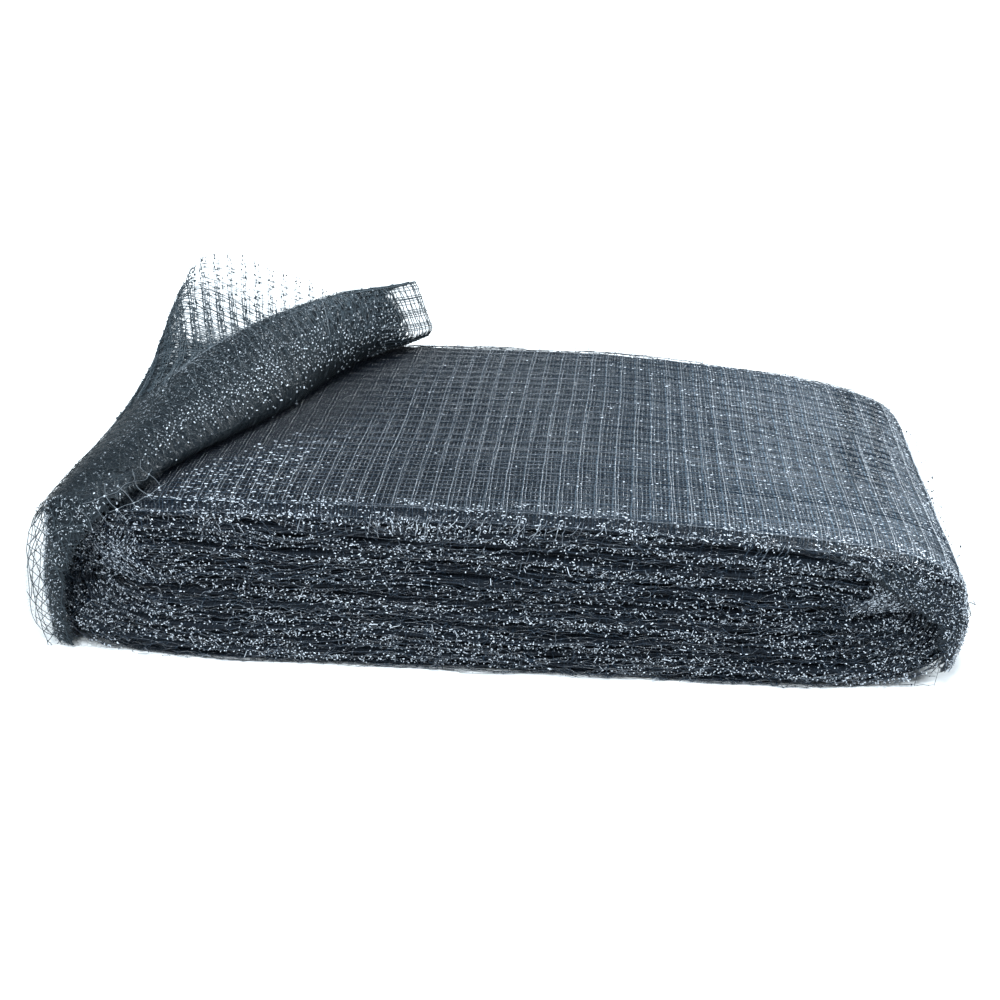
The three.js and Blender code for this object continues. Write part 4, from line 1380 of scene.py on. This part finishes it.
def hanging_rows(rng, plan, top, crease, low, over):
    """Rows of points of the net that hangs round one end, its closeness at each, and the distances along it.

    Over, where given, is the lifted sheet, and the net lies on that. If not, the net is pressed to the roll.
    """
    plan = smooth_line(plan, 10)
    length = run_along(plan)
    at = np.arange(0, length[-1], DRAPE_STEP)
    x, y = points_at(at, length, plan).T
    outward = np.sign(plan[:, 0].mean())
    bulge = Wander(rng, length=60, strength=0.7)
    sway = Wander(rng, length=40, strength=0.8)
    upper = np.interp(at, *top.T)
    lower = np.full(len(at), low)
    if over is None:
        lower = lower + np.interp(at, (45, 75, 95, 170), (0, 5, 7, 0))
    ends = rises(np.abs(x), 240, 12)
    rows, close = [], []
    for h in np.linspace(0, 1, DRAPE_ROWS):
        z = lower + (upper - lower) * h
        lean = 4.5 * rises(z, 30, 50)
        tucked = rises(z, 62, 30)
        place_y = np.maximum(y, FRONT_EDGE - 1) * tucked + y * (1 - tucked)
        here = rises(at, np.interp(h, *crease.T), 7) * falls(at, length[-1] - 4, 8)
        if over is None:
            lean = lean + 4.5 * falls(z, 30, 22)
            pressed = rises(z, 20, 25)
            face = -reach_at(z, x / ROLL["right"]) - 5
            place_y = place_y * (1 - pressed) + np.maximum(place_y, face) * pressed
            here = here * (1 - rises(at, 90, 40) * (1 - falls(h, 1, 0.4)))
        belly = bulge(at, z) * 0.6 + 1.2 * math.sin(math.pi * h)
        rows.append(np.stack([x + outward * ends * (belly - lean), place_y + sway(at, z) * 0.4, z], 1))
        close.append(here)
    if over is not None:
        last, front = rows[-1], falls(at, 67, 14)
        closeness = close[-1]
        for back in (3.0, 7.0, 12.0, 18.0, 26.0, 34.0):
            place_y = last[:, 1] + back * front
            under = zip(last[:, 0], np.clip(place_y, FRONT_EDGE, BACK_EDGE))
            lie = np.array([over.top(px, py) for px, py in under])
            z = last[:, 2] * (1 - front) + np.maximum(lie + 0.2, last[:, 2] - 6) * front
            rows.append(np.stack([last[:, 0] + 0.25 * back * front, place_y, z], 1))
            close.append(closeness * falls(back, 36, 22) * front)
    return np.array(rows), np.array(close), at


def end_drape(name, finish, seed, plan, top, crease, low, layers, kept, number, gather, over=None):
    """Close net that hangs round one end of the roll, as a sheet and its threads."""
    rng = np.random.default_rng(seed)
    table, close, at = hanging_rows(rng, plan, top, crease, low, over)
    net_u = np.broadcast_to(at / MESH, close.shape)
    net_v = np.cumsum(np.linalg.norm(np.diff(table, axis=0, prepend=table[:1]), axis=2), 0) / MESH
    piece = make_surface(name, table, LIFTED_NET, net_u, net_v)
    give_values(piece.data, "close", close)
    # One painted shade for the whole hanging sheet.
    give_values(piece.data, "shade", np.full(close.shape, kept))

    def spot(h, u, of):
        """Place or closeness on the hanging net at shares of its height and distances along it."""
        row = np.clip(h * (DRAPE_ROWS - 1), 0, DRAPE_ROWS - 1.001)
        return sampled(of, row, np.clip(u / DRAPE_STEP, 0, len(at) - 1.001))

    threads = Threads()
    least = 0.15
    out = np.array([0.3 * np.sign(plan[:, 0].mean()), -0.35, 0.1])
    for layer in range(layers):
        stand = out * (layer + 1)
        slide = rng.uniform(-0.6, 0.6)
        h = np.linspace(0, 1, 18)
        for start in np.arange(-60, at[-1] + 60, MESH):
            u = start + slide * h * 88 + rng.normal(0, 0.5, len(h))
            keep = (u > 0) & (u < at[-1]) & (spot(h, u, close) > least)
            knots = knots_every(rng, len(h), step=2, low=0.5, high=1.2)
            line = spot(h, u, table) + stand + rng.normal(0, 0.3, (len(h), 3))
            thick = rng.uniform(0.7, 1.0)
            threads.add_where(keep, line, thick, tone=rng.uniform(0.2, 0.6), knots=knots)
        u = np.arange(0, at[-1], 6.0)
        for level in np.arange(0.02, 1.0, 0.11):
            h_across = level + rng.normal(0, 0.012, len(u)) + 0.03 * np.sin(u / 23 + layer)
            h_across = np.clip(h_across, 0, 1)
            line = spot(h_across, u, table) + stand + rng.normal(0, 0.3, (len(u), 3))
            keep = spot(h_across, u, close) > least
            threads.add_where(keep, line, thick=rng.uniform(0.7, 1.0), tone=rng.uniform(0.2, 0.62))
    # Twists with painted glints, gathered towards the front.
    h = rng.random(number)
    u = at[-1] * rng.random(number) ** gather
    chosen = spot(h, u, close) > 0.6
    h, u = h[chosen], u[chosen]
    count = len(h)
    middle = spot(h, u, table) + out * (layers + 1) + rng.normal(0, 0.3, (count, 3))
    along = rng.normal(0, 1, (count, 3))
    threads.add_bits(middle, along, np.exp(rng.normal(-0.2, 0.4, count)), rng.uniform(0.45, 1.0, count),
                     painted_glint_tones(rng, count, low=0.58, power=1.5))
    return piece, make_net(name + "_threads", threads, finish, seed)


# Assembly

wrap = Wrap()
loose = LooseEnd()

shared_drift = Wander(np.random.default_rng(5), length=220, strength=1.2)
rounds = int(round(wrap.length / MESH))
packed = packed_roll(rounds, shared_drift)
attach(packed, "root")
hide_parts("roll")

# Layers: seed, stand off the roll, offset along and across, whether it runs underneath, paleness across,
# partly a painted sheen.
LAYERS = [
    (11, 0.2, (6.9, 0.0), True, (0.56, 0.63)),
    (12, 0.5, (4.4, 5.1), False, (0.61, 0.655)),
    (13, 0.9, (1.9, -2.6), False, (0.64, 0.685)),
    (14, 1.4, (0.0, 2.4), False, (0.66, 0.7)),
]
wound_pieces = [wound_layer(f"wound_layer_{k}", wrap, rounds, shared_drift, *layer)
                for k, layer in enumerate(LAYERS, 1)]
wound_pieces += [
    edge_ticks(),
    brim_painted_glints(wrap),
    end_tangle("right_tangle", 1, seed=61, number=110),
    end_tangle("left_tangle", -1, seed=62, number=80),
    right_hem(),
    right_veil(),
    front_curls(),
    *end_drape("right_lip", WOUND_THREAD, seed=47, **RIGHT_LIP),
]
# Faces: name, side, seed, threads along each fold, share of twists with painted glints on the folds, such
# twists strewn on each.
FACES = [("front", -1, 21, 7, 0.62, 2300), ("back", 1, 22, 5, 0.45, 1000)]
for name, side, seed, rows, share, strewn in FACES:
    folds, rings = fold_edges(name + "_folds", side, seed, rows)
    wound_pieces += [folds, fold_painted_glints(name + "_painted_glints", rings, rows, side, seed + 2, share, strewn)]
for piece in wound_pieces:
    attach(piece, "root")

sheet = lifted_sheet(loose)
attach(sheet, "root")
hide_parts("loose_end")

# Close layers of the hood: seed, stand off the sheet, offset along and across, skew.
HOOD_LAYERS = [
    (33, 0.4, (4.0, 3.0), 0.55),
    (34, 0.7, (1.0, 6.0), 0.8),
    (35, 1.0, (6.0, 1.0), 0.3),
]
# Clear layers: seed, stand off the sheet, offset along and across, thickness, how far back each reaches.
OPEN_LAYERS = [
    (31, 0.4, (0.0, 0.0), 1.35, 200.0),
    (32, 1.0, (1.6, 5.0), 1.35, 200.0),
    (36, -0.4, (3.4, 2.4), 1.2, 200.0),
    (38, 0.7, (5.0, 7.4), 1.2, 124.0),
    (40, 0.1, (0.8, 3.7), 1.2, 118.0),
    (42, 1.2, (2.6, 8.7), 1.2, 110.0),
    (44, 0.9, (4.3, 6.1), 1.2, 102.0),
    (46, 0.5, (3.0, 1.3), 1.1, 94.0),
]
loose_pieces = [
    *[hood_layer(f"hood_layer_{k}", loose, *layer) for k, layer in enumerate(HOOD_LAYERS, 1)],
    hood_painted_glints(loose),
    *[open_net(f"open_net_{k}", loose, *layer) for k, layer in enumerate(OPEN_LAYERS, 1)],
    tube_rim(loose),
    left_veil(loose),
    corner_patch(),
    *end_drape("left_drape", LOOSE_THREAD, seed=43, over=loose, **LEFT_DRAPE),
]
for piece in loose_pieces:
    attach(piece, "root")


# Camera, floor and light

def camera():
    lens = bpy.data.cameras.new("camera")
    lens.sensor_width = 36.0
    lens.lens = 51.12
    lens.clip_start = 0.01
    lens.clip_end = 50.0
    view = put("camera", lens)
    view.location = (0.068, -0.824, 0.394)
    view.rotation_euler = (math.radians(90 - 23.4), 0.0, math.radians(5.5))
    bpy.context.scene.camera = view


def floor(half=9):
    f = Finish("pale_floor")
    f.surface({"Base Color": (0.8, 0.8, 0.8, 1), "Roughness": 0.9})
    mesh = bpy.data.meshes.new("floor")
    corners = [(-half, -half, 0), (half, -half, 0), (half, half, 0), (-half, half, 0)]
    mesh.from_pydata(corners, [], [(0, 1, 2, 3)])
    mesh.materials.append(f.material)
    put("floor", mesh)


def soft_light(name, towards, strength, spread):
    """A broad even light from far off, given by the direction it comes from and its width in degrees."""
    lamp = bpy.data.lights.new(name, "SUN")
    lamp.energy = strength
    lamp.color = (0.86, 0.945, 1.0)
    lamp.angle = math.radians(spread)
    x, y, z = towards
    put(name, lamp).rotation_euler = (math.atan2(math.hypot(x, y), z), 0.0, math.atan2(y, x) + math.pi / 2)


def studio():
    world = bpy.data.worlds.new("studio")
    world.use_nodes = True
    sky = world.node_tree.nodes["Background"]
    sky.inputs["Color"].default_value = (0.8, 0.92, 1.0, 1)
    sky.inputs["Strength"].default_value = 0.34
    bpy.context.scene.world = world
    bpy.context.scene.view_settings.view_transform = "Standard"
    soft_light("top_light", (-0.1, -0.4, 0.9), 3.2, 14.0)
    soft_light("left_light", (-0.6, -0.6, 0.55), 1.8, 12.0)
    soft_light("right_light", (0.7, -0.35, 0.62), 1.6, 12.0)
    soft_light("back_light", (0.38, 0.8, 0.41), 3.4, 16.0)


camera()
floor()
studio()
